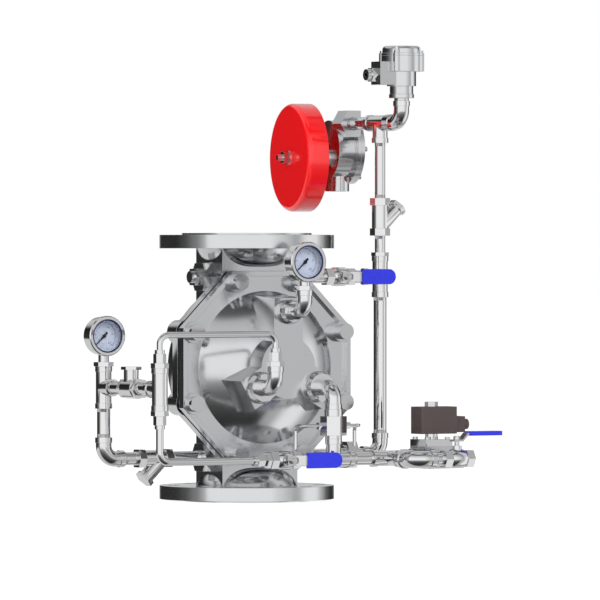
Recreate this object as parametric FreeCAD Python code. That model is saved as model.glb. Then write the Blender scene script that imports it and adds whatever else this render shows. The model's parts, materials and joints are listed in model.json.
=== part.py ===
"""Sprinkler alarm valve: a DN150 diaphragm valve with its screwed alarm trim.

Millimetres. The origin is the centre of the inlet flange's raised face, +Z runs up
along the flow, -Y is the cover side and +X is the alarm side of the trim.
"""
import FreeCAD
import Part
import math
import os

Vector = FreeCAD.Vector
RIGHT = Vector(1, 0, 0)
LEFT = Vector(-1, 0, 0)
BACK = Vector(0, 1, 0)
FRONT = Vector(0, -1, 0)
UP = Vector(0, 0, 1)
DOWN = Vector(0, 0, -1)

# Main valve: flanges and neck
face_to_face = 436.0
flange_d = 285.0
flange_thickness = 22.0
raised_face_d = 212.0
raised_face_height = 3.0
bore_d = 150.0
bore_depth = 13.0
flange_pcd = 240.0
flange_hole_count = 8
flange_hole_d = 22.0
hub_root_d = 164.0
hub_tip_d = 86.0
hub_height = 30.0
neck_width = 140.0
neck_depth = 88.0
duct_width = 92.0
duct_depth = 66.0

# Main valve: bowl, cover and seat
body_flats = 312.0
body_flange_back = -32.0
joint_plane = -49.0
diaphragm_thickness = 5.0
cover_plate_thickness = 7.0
cover_rib_width = 8.0
cover_rib_height = 8.0
bowl_d = 280.0
bowl_floor_d = 180.0
bowl_back = 50.0
bowl_wall = 11.0
seat_bore_d = 120.0
seat_ring_wall = 8.0
seat_ring_height = 3.0
seat_ring_spigot = 6.0
seat_plane = -47.0
dome_radius = 187.0
dome_wall = 8.0
dome_apex = -108.0
spider_plane = -137.0
spider_hub_d = 100.0
spider_arm_width = 53.0
spider_draft = 5.0
upper_arm_length = 113.0
lower_arm_length = 87.0
upper_port_height = 90.7
lower_port_radius = 62.3

# Cover joint fasteners
cover_bolt_count = 8
cover_bolt_circle_d = 300.0
cover_bolt_d = 16.0
cover_bolt_head_d = 26.0
cover_bolt_head_height = 15.0
cover_boss_d = 34.0
cover_boss_height = 3.0
body_boss_d = 40.0
body_boss_height = 14.0
blind_hole_end = -21.0
spot_face_d = 31.0
cover_nut_flats = 24.0
cover_nut_height = 13.0
bolt_hole_clearance = 0.6

# Diaphragm unit
diaphragm_disc_d = 144.0
diaphragm_disc_thickness = 6.0
diaphragm_fold_d = 232.0
diaphragm_fold_height = 15.0
plate_d = 128.0
plate_thickness = 7.0
plate_hub_d = 40.0
plate_hub_height = 8.0
spring_mean_d = 54.0
spring_wire = 4.0
spring_turns = 3.0

# Screwed pipe and fittings
pipe_d = 21.3
pipe_bore = 16.0
slim_pipe_d = 17.2
slim_pipe_bore = 12.6
thread_grip = 11.0
thread_clearance = 0.12
fitting_d = 25.2
fitting_band_d = 27.6
fitting_band_width = 8.5
elbow_reach = 35.0
elbow_bend = 21.0
tee_reach = 34.0
tee_branch_reach = 33.0
tee_branch_step = 0.4
large_fitting_d = 29.0
large_band_d = 32.0
port_hex_flats = 45.0
port_hex_height = 20.0
side_port_d = 34.0
side_port_height = 146.5
plug_flats = 27.0
plug_height = 17.0
cover_port_d = 26.0
cover_port_grip = 15.0
upper_bushing_d = 40.0
lower_bushing_d = 52.0

# Trim stations, measured from the valve's centre
left_riser_x = -265.0
right_riser_x = 252.7
front_line_y = -188.0
left_tee_height = -31.0
left_strainer_start = -143.0
right_strainer_start = 214.0
check_valve_start = -72.0
front_tee_x = 54.0
junction_x = 159.0
release_line_y = -266.0
top_tee_height = 400.0
union_start = 179.0
alarm_valve_start = 146.0
supply_valve_start = -66.0
release_valve_start = 212.0
gauge_axis_height = 52.0
control_gauge_height = 171.0
upper_tube_height = 55.4

# Strainer
strainer_length = 62.0
strainer_hex_flats = 29.0
strainer_hex_length = 12.0
strainer_body_d = 27.0
strainer_branch_d = 24.0
strainer_branch_start = 14.0
strainer_branch_length = 42.0
strainer_bore = 17.0
strainer_cap_flats = 27.0
strainer_cap_height = 8.0
screen_d = 14.0
screen_wall = 0.8

# Swing check valve
check_length = 53.0
check_hex_flats = 29.0
check_hex_length = 9.0
check_body_d = 32.0
check_chamber_d = 25.0
check_cap_position = 21.0
check_cap_flats = 28.5
check_cap_height = 5.0
check_neck_height = 30.0
clapper_d = 18.0
clapper_thickness = 2.5
clapper_pin_d = 3.0
clapper_pin_height = 9.6

# Pressure gauges
gauge_case_d = 62.0
gauge_bezel_d = 65.0
gauge_window_d = 54.0
gauge_rear = 12.4
gauge_front = 14.4
gauge_back_wall = 10.4
gauge_lip = 3.0
gauge_glass_thickness = 2.0
gauge_dial_thickness = 1.5
gauge_stem_d = 17.0
gauge_thread_d = 13.0
gauge_thread_length = 8.0
gauge_bushing_flats = 28.0
gauge_bushing_height = 7.0
pointer_length = 21.0
pointer_tail = 8.0
pointer_thickness = 0.8
pointer_spindle_d = 2.4
pointer_rest_angle = 225.0

# Tube lines and their nuts
upper_tube_d = 10.0
lower_tube_d = 12.0
relief_tube_d = 6.0
tube_wall = 1.0
tube_bend = 15.0
relief_tube_bend = 9.0
adapter_flats = 25.0
adapter_height = 8.0
tube_nut_flats = 18.0
tube_nut_length = 21.0
small_nut_flats = 11.0
small_nut_length = 11.0
tube_grip = 7.0
tube_clearance = 0.1

# Relief valve between the lower tee and the right cover port
relief_flats = 37.0
relief_hex_height = 31.0
relief_neck_d = 27.0
relief_collar_d = 30.0
relief_collar_height = 11.0
relief_chamber_d = 15.0
relief_chamber_length = 24.0
relief_waterway_d = 9.0
relief_piston_length = 17.0
relief_tube_offset_left = -56.7
relief_tube_offset_right = 50.8
relief_tube_back_left = 24.0
relief_tube_back_right = 20.0
relief_tube_drop_left = 58.0
relief_tube_drop_right = 34.0

# Ball valves
valve_length = 54.0
valve_hex_flats = 27.0
valve_hex_length = 13.0
valve_housing_d = 31.0
valve_ball_d = 24.0
valve_port_d = 14.0
valve_stem_d = 8.0
valve_stem_boss_d = 15.0
valve_stem_boss_height = 21.0
valve_stem_nut_flats = 10.0
valve_stem_nut_height = 5.0
lever_height = 28.0
lever_thickness = 3.0
lever_width = 16.0
lever_heel = 9.0
lever_knee = 7.5
lever_rise = 11.0
lever_length = 80.0
grip_start = 21.0
grip_length = 63.0
grip_width = 25.0
grip_thickness = 7.0

# Running fits and seats
running_clearance = 0.06
seat_gap = 0.3

# Solenoid valve
solenoid_x = 238.0
solenoid_length = 80.0
solenoid_block = 50.0
solenoid_block_bottom = -164.0
solenoid_block_top = -128.0
solenoid_end_d = 30.0
bonnet_thickness = 11.0
bonnet_screw_spacing = 38.0
core_neck_d = 20.0
core_neck_height = 9.0
core_tube_d = 13.0
core_tube_height = 50.0
core_bore_d = 10.0
core_bore_height = 54.0
plunger_length = 52.0
solenoid_chamber_d = 32.0
solenoid_chamber_depth = 8.0
solenoid_seat_d = 7.0
coil_height = 44.0
coil_depth = 36.0
coil_left = 29.0
coil_right = 39.0
coil_nut_flats = 19.0
coil_nut_height = 8.0
connector_length = 18.0
connector_width = 24.0
connector_height = 26.0
connector_height_above_coil_base = 2.0
connector_gland_d = 17.0
connector_gland_length = 10.0
cable_hole_d = 7.0

# Pressure switch
switch_neck_d = 24.0
switch_neck_height = 4.5
switch_flange_d = 41.0
switch_flange_height = 6.5
switch_stage_d = 38.5
switch_stage_height = 13.0
switch_body_d = 48.0
switch_body_height = 24.0
switch_drum_d = 66.0
switch_drum_height = 26.0
switch_drum_wall = 3.0
switch_cap_height = 16.0
switch_cap_d = 63.0
switch_lug_count = 4
switch_lug_d = 11.0
switch_pressure_bore_d = 8.0
switch_entry_reach = 49.0
switch_entry_width = 30.0
switch_entry_height = 38.0
switch_entry_drop = 22.0
switch_gland_flats = 22.0
switch_gland_length = 19.0

# Union on the lower alarm line
union_length = 25.0
union_nut_flats = 43.0
union_collar_d = 32.0
union_nut_length = 19.0

# Water motor and gong
motor_y = 140.0
motor_turn = 8.0
motor_shaft_height = 344.0
motor_casing_offset = 14.0
motor_casing_d = 97.0
motor_casing_wall = 6.0
motor_flange_d = 115.0
motor_flange_thickness = 6.0
motor_rear = -27.0
motor_front = 16.0
motor_screw_count = 6
motor_screw_circle_d = 106.0
motor_drain_d = 40.0
motor_drain_bore = 26.0
motor_drain_bottom = 288.0
motor_boss_flats = 44.0
motor_boss_front = 85.0
motor_boss_length = 30.0
spindle_d = 10.0
rotor_hub_d = 18.0
impeller_d = 52.0
impeller_width = 20.0
impeller_blades = 6
impeller_blade_thickness = 4.0
gong_d = 180.0
gong_back = 51.0
gong_front = 88.0
gong_wall = 3.0
gong_edge_radius = 9.0
gong_nut_flats = 19.0
gong_nut_height = 9.0
spindle_tip = 108.0
striker_position = 62.0
striker_width = 16.0
striker_thickness = 6.0
striker_hammer_d = 16.0
striker_gap = 3.5

# Small machine screws
screw_d = 5.0
screw_head_d = 8.5
screw_head_height = 4.0

# Sizes worked out from the driving dimensions
centre_z = face_to_face / 2
pipe_r = pipe_d / 2
slim_pipe_r = slim_pipe_d / 2
thread_r = pipe_r + thread_clearance
slim_thread_r = slim_pipe_r + thread_clearance
cover_joint = joint_plane - diaphragm_thickness
cover_face = cover_joint - cover_plate_thickness
cover_rib_front = cover_face - cover_rib_height
dome_centre = dome_apex + dome_radius
bowl_axis = Vector(0, 0, centre_z)


def place(x, y, height):
    """A point given by its height above the valve's centre."""
    return Vector(x, y, centre_z + height)


def side_of(along):
    """A unit direction square to the given one."""
    helper = UP if abs(along.z) < 0.9 * along.Length else RIGHT
    side = helper.cross(along)
    side.normalize()
    return side


def unit(direction):
    """The direction with length one."""
    result = Vector(direction)
    result.normalize()
    return result


def upright(solid):
    """The solid, turned inside out if its faces point inwards."""
    if solid.Volume < 0:
        solid.reverse()
    return solid


def rod(start, along, diameter, length):
    """A plain round bar."""
    return Part.makeCylinder(diameter / 2, length, start, along)


def turned(start, along, outline):
    """A turned solid. The outline lists (radius, distance along) corners;
    an entry of four numbers is an arc through the first pair to the second."""
    along = unit(along)
    side = side_of(along)

    def spot(radius, distance):
        return start + side * radius + along * distance

    edges = []
    first = spot(*outline[0][-2:])
    here = first
    for entry in outline[1:]:
        there = spot(*entry[-2:])
        if len(entry) == 4:
            edges.append(Part.Arc(here, spot(*entry[:2]), there).toShape())
        else:
            edges.append(Part.makeLine(here, there))
        here = there
    if not here.isEqual(first, 1e-6):
        edges.append(Part.makeLine(here, first))
    face = Part.Face(Part.Wire(edges))
    return upright(face.revolve(start, along, 360))


def polygon(start, along, flats, sides, first_angle):
    """A regular polygon's face, square to the given direction."""
    along = unit(along)
    side = side_of(along)
    other = along.cross(side)
    reach = flats / 2 / math.cos(math.pi / sides)
    corners = []
    for number in range(sides + 1):
        angle = math.radians(first_angle + 360.0 * number / sides)
        corners.append(start + side * reach * math.cos(angle) + other * reach * math.sin(angle))
    return Part.Face(Part.makePolygon(corners))


def prism(start, along, flats, length, sides=6, first_angle=0.0):
    """A regular prism, such as a hexagon for a spanner."""
    return upright(polygon(start, along, flats, sides, first_angle).extrude(unit(along) * length))


def block(centre, size):
    """A box given by its middle and its three sides."""
    corner = centre - size * 0.5
    return Part.makeBox(size.x, size.y, size.z, corner)


def joined(shapes):
    """All the shapes as one solid."""
    shapes = list(shapes)
    result = shapes[0].fuse(shapes[1:]) if len(shapes) > 1 else shapes[0]
    return result.removeSplitter()


def pipe(start, end, diameter, bore):
    """A straight hollow pipe between two points."""
    along = end - start
    outer = rod(start, along, diameter, along.Length)
    return outer.cut(rod(start, along, bore, along.Length))


def screwed_pipe(mouth_a, mouth_b, diameter=pipe_d, bore=pipe_bore):
    """A pipe screwed into the two fittings whose end faces are given."""
    along = unit(mouth_b - mouth_a)
    return pipe(mouth_a - along * thread_grip, mouth_b + along * thread_grip, diameter, bore)


def close_nipple(mouth, along):
    """A nipple hidden between two fittings whose end faces meet."""
    return pipe(mouth - along * thread_grip, mouth + along * thread_grip, pipe_d, pipe_bore)


def bent(points, bend, diameter):
    """A round bar along straight runs with a tangent arc at each corner."""
    pieces = []
    start = points[0]
    for before, corner, after in zip(points, points[1:], points[2:]):
        incoming = unit(corner - before)
        outgoing = unit(after - corner)
        setback = bend * math.tan(incoming.getAngle(outgoing) / 2)
        entry = corner - incoming * setback
        leave = corner + outgoing * setback
        pieces.append(rod(start, entry - start, diameter, (entry - start).Length))
        axis = unit(incoming.cross(outgoing))
        middle = entry + axis.cross(incoming) * bend
        face = Part.Face(Part.Wire(Part.makeCircle(diameter / 2, entry, incoming)))
        turn = math.degrees(incoming.getAngle(outgoing))
        pieces.append(upright(face.revolve(middle, axis, turn)))
        start = leave
    pieces.append(rod(start, points[-1] - start, diameter, (points[-1] - start).Length))
    return joined(pieces)


def bent_tube(points, bend, diameter):
    """A bent tube with the common wall."""
    return bent(points, bend, diameter).cut(bent(points, bend, diameter - 2 * tube_wall))


def socket(mouth, inwards, diameter=2 * thread_r):
    """The threaded hole at a fitting's end face."""
    return rod(mouth, inwards, diameter, thread_grip)


def mouth_band(mouth, inwards, diameter):
    """The thickened band round a fitting's end."""
    return rod(mouth, inwards, diameter, fitting_band_width)


def tee(centre, run, branch, run_thread=2 * thread_r, branch_thread=2 * thread_r):
    """A screwed tee: a straight run and a branch square to it."""
    body = []
    holes = []
    for along, reach, thread, slimmer in (
        (run, tee_reach, run_thread, 0.0),
        (run * -1, tee_reach, run_thread, 0.0),
        (branch, tee_branch_reach, branch_thread, tee_branch_step),
    ):
        mouth = centre + along * reach
        body.append(rod(centre, along, fitting_d - slimmer, reach))
        body.append(mouth_band(mouth, along * -1, fitting_band_d))
        holes.append(socket(mouth, along * -1, thread))
        holes.append(rod(centre, along, pipe_bore - slimmer, reach))
    return joined(body).cut(joined(holes))


def elbow(centre, first, second, body_d=fitting_d, band_d=fitting_band_d):
    """A screwed elbow with a smooth bend between its two mouths."""
    ends = [centre + first * elbow_reach, centre, centre + second * elbow_reach]
    outside = [bent(ends, elbow_bend, body_d)]
    inside = [bent(ends, elbow_bend, pipe_bore)]
    for along in (first, second):
        mouth = centre + along * elbow_reach
        outside.append(mouth_band(mouth, along * -1, band_d))
        inside.append(socket(mouth, along * -1))
    return joined(outside).cut(joined(inside))


def spigot(mouth, inwards, diameter=pipe_d):
    """The male thread of a piece that is screwed into a mouth."""
    return rod(mouth, inwards, diameter, thread_grip)


def reducer(mouth, outwards, flats, height, hole_d, hole_depth):
    """A hexagon bushing screwed into a mouth, with a blind thread for the next piece."""
    body = joined([spigot(mouth, outwards * -1), prism(mouth, outwards, flats, height)])
    top = mouth + outwards * height
    waterway = rod(mouth - outwards * thread_grip, outwards, hole_d - 3, thread_grip + height)
    return body.cut(waterway).cut(rod(top, outwards * -1, hole_d, hole_depth))


def tube_adapter(mouth, outwards, tube_d):
    """The hexagon adapter that takes a tube's end."""
    return reducer(mouth, outwards, adapter_flats, adapter_height, tube_d + 2 * tube_clearance, tube_grip)


def tube_nut(mouth, outwards, tube_d):
    """The nut that clamps a tube on its adapter."""
    seat = mouth + outwards * adapter_height
    shoulder = prism(seat, outwards, tube_nut_flats, tube_nut_length * 0.7)
    tip = rod(seat, outwards, tube_nut_flats * 0.92, tube_nut_length)
    hole = rod(seat, outwards, tube_d + 2 * tube_clearance, tube_nut_length)
    return joined([shoulder, tip]).cut(hole)


def tube_end(mouth, outwards):
    """Where a tube stops inside its adapter."""
    return mouth + outwards * (adapter_height - tube_grip)


def bolt_places():
    """The cover bolts' centres, on the joint's plane y = 0."""
    places = []
    for number in range(cover_bolt_count):
        angle = math.radians((number + 0.5) * 360.0 / cover_bolt_count)
        reach = cover_bolt_circle_d / 2
        places.append(place(reach * math.cos(angle), 0, reach * math.sin(angle)))
    return places


def octagon(y_front, y_back, flats):
    """The eight sided plate of the cover joint, with flats left, right, top and bottom."""
    start = Vector(0, y_front, centre_z)
    return prism(start, BACK, flats, y_back - y_front, cover_bolt_count, 180.0 / cover_bolt_count)


def bolt_holes(y_front, y_back):
    """Clearance holes for the cover bolts."""
    diameter = cover_bolt_d + 2 * bolt_hole_clearance
    holes = []
    for point in bolt_places():
        holes.append(rod(Vector(point.x, y_front, point.z), BACK, diameter, y_back - y_front))
    return holes


def is_blind(point):
    """Whether a cover bolt lies in front of the neck, where no nut can reach."""
    return abs(point.x) < neck_width / 2


def bolt_end(point):
    """Where a bolt's seat in the body ends: the nut's face, or the blind hole's floor."""
    return blind_hole_end if is_blind(point) else body_flange_back + body_boss_height


def flange(face_z, inwards):
    """One end flange with its raised face and the hub that blends into the neck."""
    face = Vector(0, 0, face_z)
    back = raised_face_height + flange_thickness
    tip = back + hub_height
    bulge_r = (hub_root_d * 0.62 + hub_tip_d * 0.38) / 2
    outline = [
        (0, 0),
        (raised_face_d / 2, 0),
        (raised_face_d / 2, raised_face_height),
        (flange_d / 2, raised_face_height),
        (flange_d / 2, back),
        (hub_root_d / 2, back),
        (bulge_r + 4, back + hub_height * 0.58, hub_tip_d / 2, tip),
        (0, tip),
    ]
    return turned(face, inwards, outline)


def flange_passage(face_z, inwards):
    """The round bore behind the face and the taper down to the neck's duct."""
    depth = bore_depth + (bore_d - duct_depth) / 2
    outline = [
        (0, 0),
        (bore_d / 2, 0),
        (bore_d / 2, bore_depth),
        (duct_depth / 2, depth),
        (0, depth),
    ]
    return turned(Vector(0, 0, face_z), inwards, outline)


def flange_holes():
    """The bolt holes, each through its own end flange only."""
    depth = raised_face_height + flange_thickness
    holes = []
    for number in range(flange_hole_count):
        angle = math.radians((number + 0.5) * 360.0 / flange_hole_count)
        point = Vector(math.cos(angle), math.sin(angle), 0) * (flange_pcd / 2)
        holes.append(rod(point, UP, flange_hole_d, depth))
        holes.append(rod(point + UP * face_to_face, DOWN, flange_hole_d, depth))
    return holes


def valve_body():
    """The casting: two flanges, the flat sided neck, the bowl and the seat column inside."""
    bowl_r = bowl_d / 2
    floor_r = bowl_floor_d / 2
    shoulder = bowl_back - (bowl_r - floor_r) * 1.1
    outer_bowl = [
        (0, joint_plane + 2),
        (bowl_r, joint_plane + 2),
        (bowl_r, shoulder),
        ((bowl_r + floor_r) / 2 + 10, bowl_back - 14, floor_r, bowl_back),
        (0, bowl_back),
    ]
    room_r = bowl_r - bowl_wall
    room_floor_r = floor_r - bowl_wall / 2
    room_back = bowl_back - bowl_wall
    inner_bowl = [
        (0, joint_plane - 1),
        (room_r, joint_plane - 1),
        (room_r, shoulder),
        ((room_r + room_floor_r) / 2 + 10, room_back - 14, room_floor_r, room_back),
        (0, room_back),
    ]
    neck = block(bowl_axis, Vector(neck_width, neck_depth, face_to_face - 2 * flange_thickness))
    outer = [
        turned(bowl_axis, BACK, outer_bowl),
        octagon(joint_plane, body_flange_back, body_flats),
        neck,
        flange(0, UP),
        flange(face_to_face, DOWN),
    ]
    holes = []
    for point in bolt_places():
        front = Vector(point.x, joint_plane, point.z)
        end = bolt_end(point)
        boss_end = body_flange_back if is_blind(point) else end
        outer.append(rod(front, BACK, body_boss_d, boss_end - joint_plane))
        holes.append(rod(front, BACK, cover_bolt_d + 2 * bolt_hole_clearance, end - joint_plane))
        if not is_blind(point):
            spot = Vector(point.x, end, point.z)
            holes.append(rod(spot, BACK, spot_face_d, bowl_back - end))
    # The annular room round the seat column, with the inlet duct's walls left standing in it
    column_top = seat_plane + seat_ring_height
    column_d = seat_bore_d + 2 * seat_ring_wall
    column = rod(Vector(0, column_top, centre_z), BACK, column_d, bowl_back - column_top)
    duct_wall_height = centre_z
    duct_wall_middle = Vector(0, 0, centre_z - duct_wall_height / 2)
    inlet_wall = block(duct_wall_middle, Vector(duct_width + 22, neck_depth, duct_wall_height))
    room = turned(bowl_axis, BACK, inner_bowl).cut(joined([column, inlet_wall]))
    # The water passages
    seat_bore = rod(Vector(0, column_top - 1, centre_z), BACK, seat_bore_d, room_back - column_top + 1)
    recess_d = seat_bore_d + seat_ring_wall
    seat_recess = rod(Vector(0, column_top - 1, centre_z), BACK, recess_d, seat_ring_spigot + 1)
    inlet_top = centre_z - 12
    inlet = block(
        Vector(0, 0, (bore_depth + inlet_top) / 2), Vector(duct_width, duct_depth, inlet_top - bore_depth)
    )
    outlet_bottom = centre_z + (seat_bore_d / 2 + bowl_d / 2) / 2
    outlet_top = face_to_face - bore_depth
    outlet = block(
        Vector(0, 0, (outlet_bottom + outlet_top) / 2),
        Vector(duct_width, duct_depth, outlet_top - outlet_bottom),
    )
    passages = [room, seat_bore, seat_recess, inlet, outlet]
    passages.append(flange_passage(0, UP))
    passages.append(flange_passage(face_to_face, DOWN))
    for height in (side_port_height, -side_port_height):
        passages.append(rod(place(-neck_width / 2, 0, height), RIGHT, side_port_d, neck_width))
    body = joined(outer)
    for passage in passages:
        body = body.cut(passage)
    for hole in holes + flange_holes():
        body = body.cut(hole)
    return [body]


def seat_ring():
    """The renewable seat, pressed on the column inside the bowl."""
    inner_r = seat_bore_d / 2
    outer_r = inner_r + seat_ring_wall
    spigot_r = inner_r + seat_ring_wall / 2 - thread_clearance
    outline = [
        (inner_r, 0),
        (outer_r, 0),
        (outer_r, seat_ring_height),
        (spigot_r, seat_ring_height),
        (spigot_r, seat_ring_height + seat_ring_spigot),
        (inner_r, seat_ring_height + seat_ring_spigot),
    ]
    return [turned(Vector(0, seat_plane, centre_z), BACK, outline)]


def arm_directions():
    """The spider's arms as (angle, length): one up, two down at the sides."""
    return ((90.0, upper_arm_length), (210.0, lower_arm_length), (330.0, lower_arm_length))


def port_places():
    """The three cover ports: upper, lower left and lower right, on the plane y = 0."""
    side = lower_port_radius * math.cos(math.radians(30))
    drop = lower_port_radius * math.sin(math.radians(30))
    return [place(0, 0, upper_port_height), place(-side, 0, -drop), place(side, 0, -drop)]


def spider_arm(angle, length, back):
    """One drafted arm of the raised boss on the cover."""
    outlines = []
    for y, grow in ((spider_plane, 0), (back, spider_draft)):
        half = spider_arm_width / 2 + grow
        end = length + grow
        corners = [(0, -half), (end, -half), (end, half), (0, half), (0, -half)]
        points = [Vector(across, y, height) for across, height in corners]
        outlines.append(Part.makePolygon(points))
    arm = upright(Part.makeLoft(outlines, True, True))
    arm.rotate(Vector(0, 0, 0), FRONT, angle)
    arm.translate(bowl_axis)
    return arm


def valve_cover():
    """The domed cover with its rib, bolt bosses and three armed port boss."""
    base_r = math.sqrt(dome_radius**2 - (dome_centre - cover_face) ** 2)
    middle = 0.72 * base_r
    middle_y = dome_centre - math.sqrt(dome_radius**2 - middle**2)
    room_radius = dome_radius - dome_wall
    room_r = math.sqrt(room_radius**2 - (dome_centre - cover_joint) ** 2)
    room_middle_y = dome_centre - math.sqrt(room_radius**2 - middle**2)
    room_apex = dome_centre - room_radius
    dome = [
        (room_r, cover_joint),
        (base_r, cover_joint),
        (base_r, cover_face),
        (middle, middle_y, 0, dome_apex),
        (0, room_apex),
        (middle, room_middle_y, room_r, cover_joint),
    ]
    room = [(0, cover_joint), (room_r, cover_joint), (middle, room_middle_y, 0, room_apex)]
    rib_front = cover_rib_front
    plate = octagon(cover_face, cover_joint, body_flats)
    rib = octagon(rib_front, cover_face, body_flats)
    rib = rib.cut(octagon(rib_front, cover_face, body_flats - 2 * cover_rib_width))
    opening = rod(Vector(0, cover_face, centre_z), BACK, 2 * room_r, cover_plate_thickness)
    hub_back = dome_apex + dome_wall / 2
    hub_grow = spider_draft * 0.6
    hub_outline = [
        (0, 0),
        (spider_hub_d / 2, 0),
        (spider_hub_d / 2 + hub_grow, hub_back - spider_plane),
        (0, hub_back - spider_plane),
    ]
    spider = [turned(Vector(0, spider_plane, centre_z), BACK, hub_outline)]
    for angle, length in arm_directions():
        spider.append(spider_arm(angle, length, cover_face))
    spider = joined(spider).cut(turned(bowl_axis, BACK, room))
    outer = [plate.cut(opening), rib, turned(bowl_axis, BACK, dome), spider]
    boss_front = rib_front - cover_boss_height
    for point in bolt_places():
        outer.append(rod(Vector(point.x, boss_front, point.z), BACK, cover_boss_d, cover_joint - boss_front))
    cover = joined(outer)
    for port in port_places():
        hole = Vector(port.x, spider_plane, port.z)
        cover = cover.cut(rod(hole, BACK, cover_port_d + 2 * thread_clearance, cover_port_grip))
        cover = cover.cut(rod(hole, BACK, pipe_bore, 3 * cover_port_grip + 15))
    return [cover.cut(Part.makeCompound(bolt_holes(boss_front, cover_joint)))]


def diaphragm():
    """The rubber diaphragm: a clamped rim, a rolling fold and a disc on the seat."""
    disc_r = diaphragm_disc_d / 2
    fold_r = diaphragm_fold_d / 2
    crest_r = (disc_r + fold_r) / 2
    disc_front = seat_plane - diaphragm_disc_thickness
    crest = joint_plane - diaphragm_fold_height
    fold = [
        (0, seat_plane - seat_gap),
        (disc_r, seat_plane - seat_gap),
        (crest_r, crest, fold_r, joint_plane),
        (fold_r + 4, joint_plane),
        (fold_r + 4, cover_joint),
        (fold_r - 3, cover_joint),
        (crest_r, crest - 4, disc_r - 2, disc_front),
        (0, disc_front),
    ]
    rim = octagon(cover_joint, joint_plane, body_flats - 6)
    rim = rim.cut(rod(Vector(0, cover_joint, centre_z), BACK, diaphragm_fold_d, diaphragm_thickness))
    rim = rim.cut(Part.makeCompound(bolt_holes(cover_joint, joint_plane)))
    return [joined([rim, turned(bowl_axis, BACK, fold)])]


def diaphragm_plate():
    """The plate that backs the diaphragm, with the spring's guide on its front."""
    back = seat_plane - diaphragm_disc_thickness
    outline = [
        (0, 0),
        (plate_d / 2, 0),
        (plate_d / 2, plate_thickness - 2),
        (plate_d / 2 - 4, plate_thickness),
        (plate_hub_d / 2, plate_thickness),
        (plate_hub_d / 2, plate_thickness + plate_hub_height),
        (0, plate_thickness + plate_hub_height),
    ]
    return [turned(Vector(0, back, centre_z), FRONT, outline)]


def closing_spring():
    """The spring of square wire between the plate and the cover."""
    start = seat_plane - diaphragm_disc_thickness - plate_thickness
    edge_r = (spring_mean_d + spring_wire) / 2
    room_radius = dome_radius - dome_wall
    end = dome_centre - math.sqrt(room_radius**2 - edge_r**2)
    height = start - end - spring_wire - seat_gap
    helix = Part.makeHelix(height / spring_turns, height, spring_mean_d / 2)
    half = spring_wire / 2
    middle = spring_mean_d / 2
    corners = [(-half, -half), (half, -half), (half, half), (-half, half), (-half, -half)]
    section = Part.makePolygon([Vector(middle + across, 0, along) for across, along in corners])
    coil = Part.Wire(helix).makePipeShell([section], True, True)
    coil.rotate(Vector(0, 0, 0), RIGHT, 90)
    coil.translate(Vector(0, start - half, centre_z))
    return [upright(coil)]


def cover_bolts():
    """The eight round headed bolts of the cover joint."""
    bolts = []
    seat = cover_rib_front - cover_boss_height
    for point in bolt_places():
        tip = bolt_end(point) - 1 if is_blind(point) else bolt_end(point) + cover_nut_height + 4
        head = rod(Vector(point.x, seat, point.z), FRONT, cover_bolt_head_d, cover_bolt_head_height)
        shank = rod(Vector(point.x, seat, point.z), BACK, cover_bolt_d, tip - seat)
        bolts.append(joined([head, shank]))
    return bolts


def cover_nuts():
    """The nuts behind the body's flange, on the bolts that go through it."""
    nuts = []
    for point in bolt_places():
        if is_blind(point):
            continue
        start = Vector(point.x, bolt_end(point), point.z)
        nut = prism(start, BACK, cover_nut_flats, cover_nut_height)
        nuts.append(nut.cut(rod(start, BACK, cover_bolt_d + 2 * thread_clearance, cover_nut_height)))
    return nuts


def side_port(side, height):
    """The outer face of a side port on the neck."""
    return place(side * neck_width / 2, 0, height)


def side_bushing(side, height):
    """A hexagon bushing screwed into a side port, with a pipe thread in it."""
    outwards = RIGHT * side
    face = side_port(side, height)
    grip = (neck_width - duct_width) / 2
    thread = rod(face, outwards * -1, side_port_d - 2 * thread_clearance, grip)
    collar = rod(face, outwards, port_hex_flats + 3, 3)
    hexagon = prism(face, outwards, port_hex_flats, port_hex_height)
    top = face + outwards * port_hex_height
    body = joined([thread, collar, hexagon])
    body = body.cut(rod(face - outwards * grip, outwards, pipe_bore, grip + port_hex_height))
    return body.cut(socket(top, outwards * -1))


def cover_bushing(port, diameter):
    """A round bushing between a cover port and its elbow."""
    length = spider_plane - (front_line_y + elbow_reach)
    outline = [
        (pipe_bore / 2, -cover_port_grip),
        (cover_port_d / 2, -cover_port_grip),
        (cover_port_d / 2, 0),
        (diameter / 2, 0),
        (diameter / 2, length * 0.5),
        (diameter / 2 - 4, length),
        (pipe_r, length),
        (pipe_r, length + thread_grip),
        (pipe_bore / 2, length + thread_grip),
    ]
    return turned(Vector(port.x, spider_plane, port.z), FRONT, outline)


def port_bushings():
    """All bushings in the body's and the cover's ports."""
    upper, lower_left, lower_right = port_places()
    bushings = []
    for side in (-1, 1):
        for height in (side_port_height, -side_port_height):
            bushings.append(side_bushing(side, height))
    bushings.append(cover_bushing(upper, upper_bushing_d))
    bushings.append(cover_bushing(lower_left, lower_bushing_d))
    bushings.append(cover_bushing(lower_right, lower_bushing_d))
    return bushings


def port_plug():
    """The plug in the unused upper left port."""
    mouth = side_port(-1, side_port_height) + LEFT * port_hex_height
    head = prism(mouth, LEFT, plug_flats, plug_height * 0.7)
    nose = rod(mouth, LEFT, plug_flats * 0.72, plug_height)
    return [joined([spigot(mouth, RIGHT), head, nose])]


def port_elbow_centre(index):
    """The centre of a cover port's elbow."""
    port = port_places()[index]
    return Vector(port.x, front_line_y, port.z)


def cover_elbows():
    """The elbows on the cover ports: two turn up, the lower right one turns down."""
    return [
        elbow(port_elbow_centre(0), BACK, UP),
        elbow(port_elbow_centre(1), BACK, UP),
        elbow(port_elbow_centre(2), BACK, DOWN),
    ]


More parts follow.
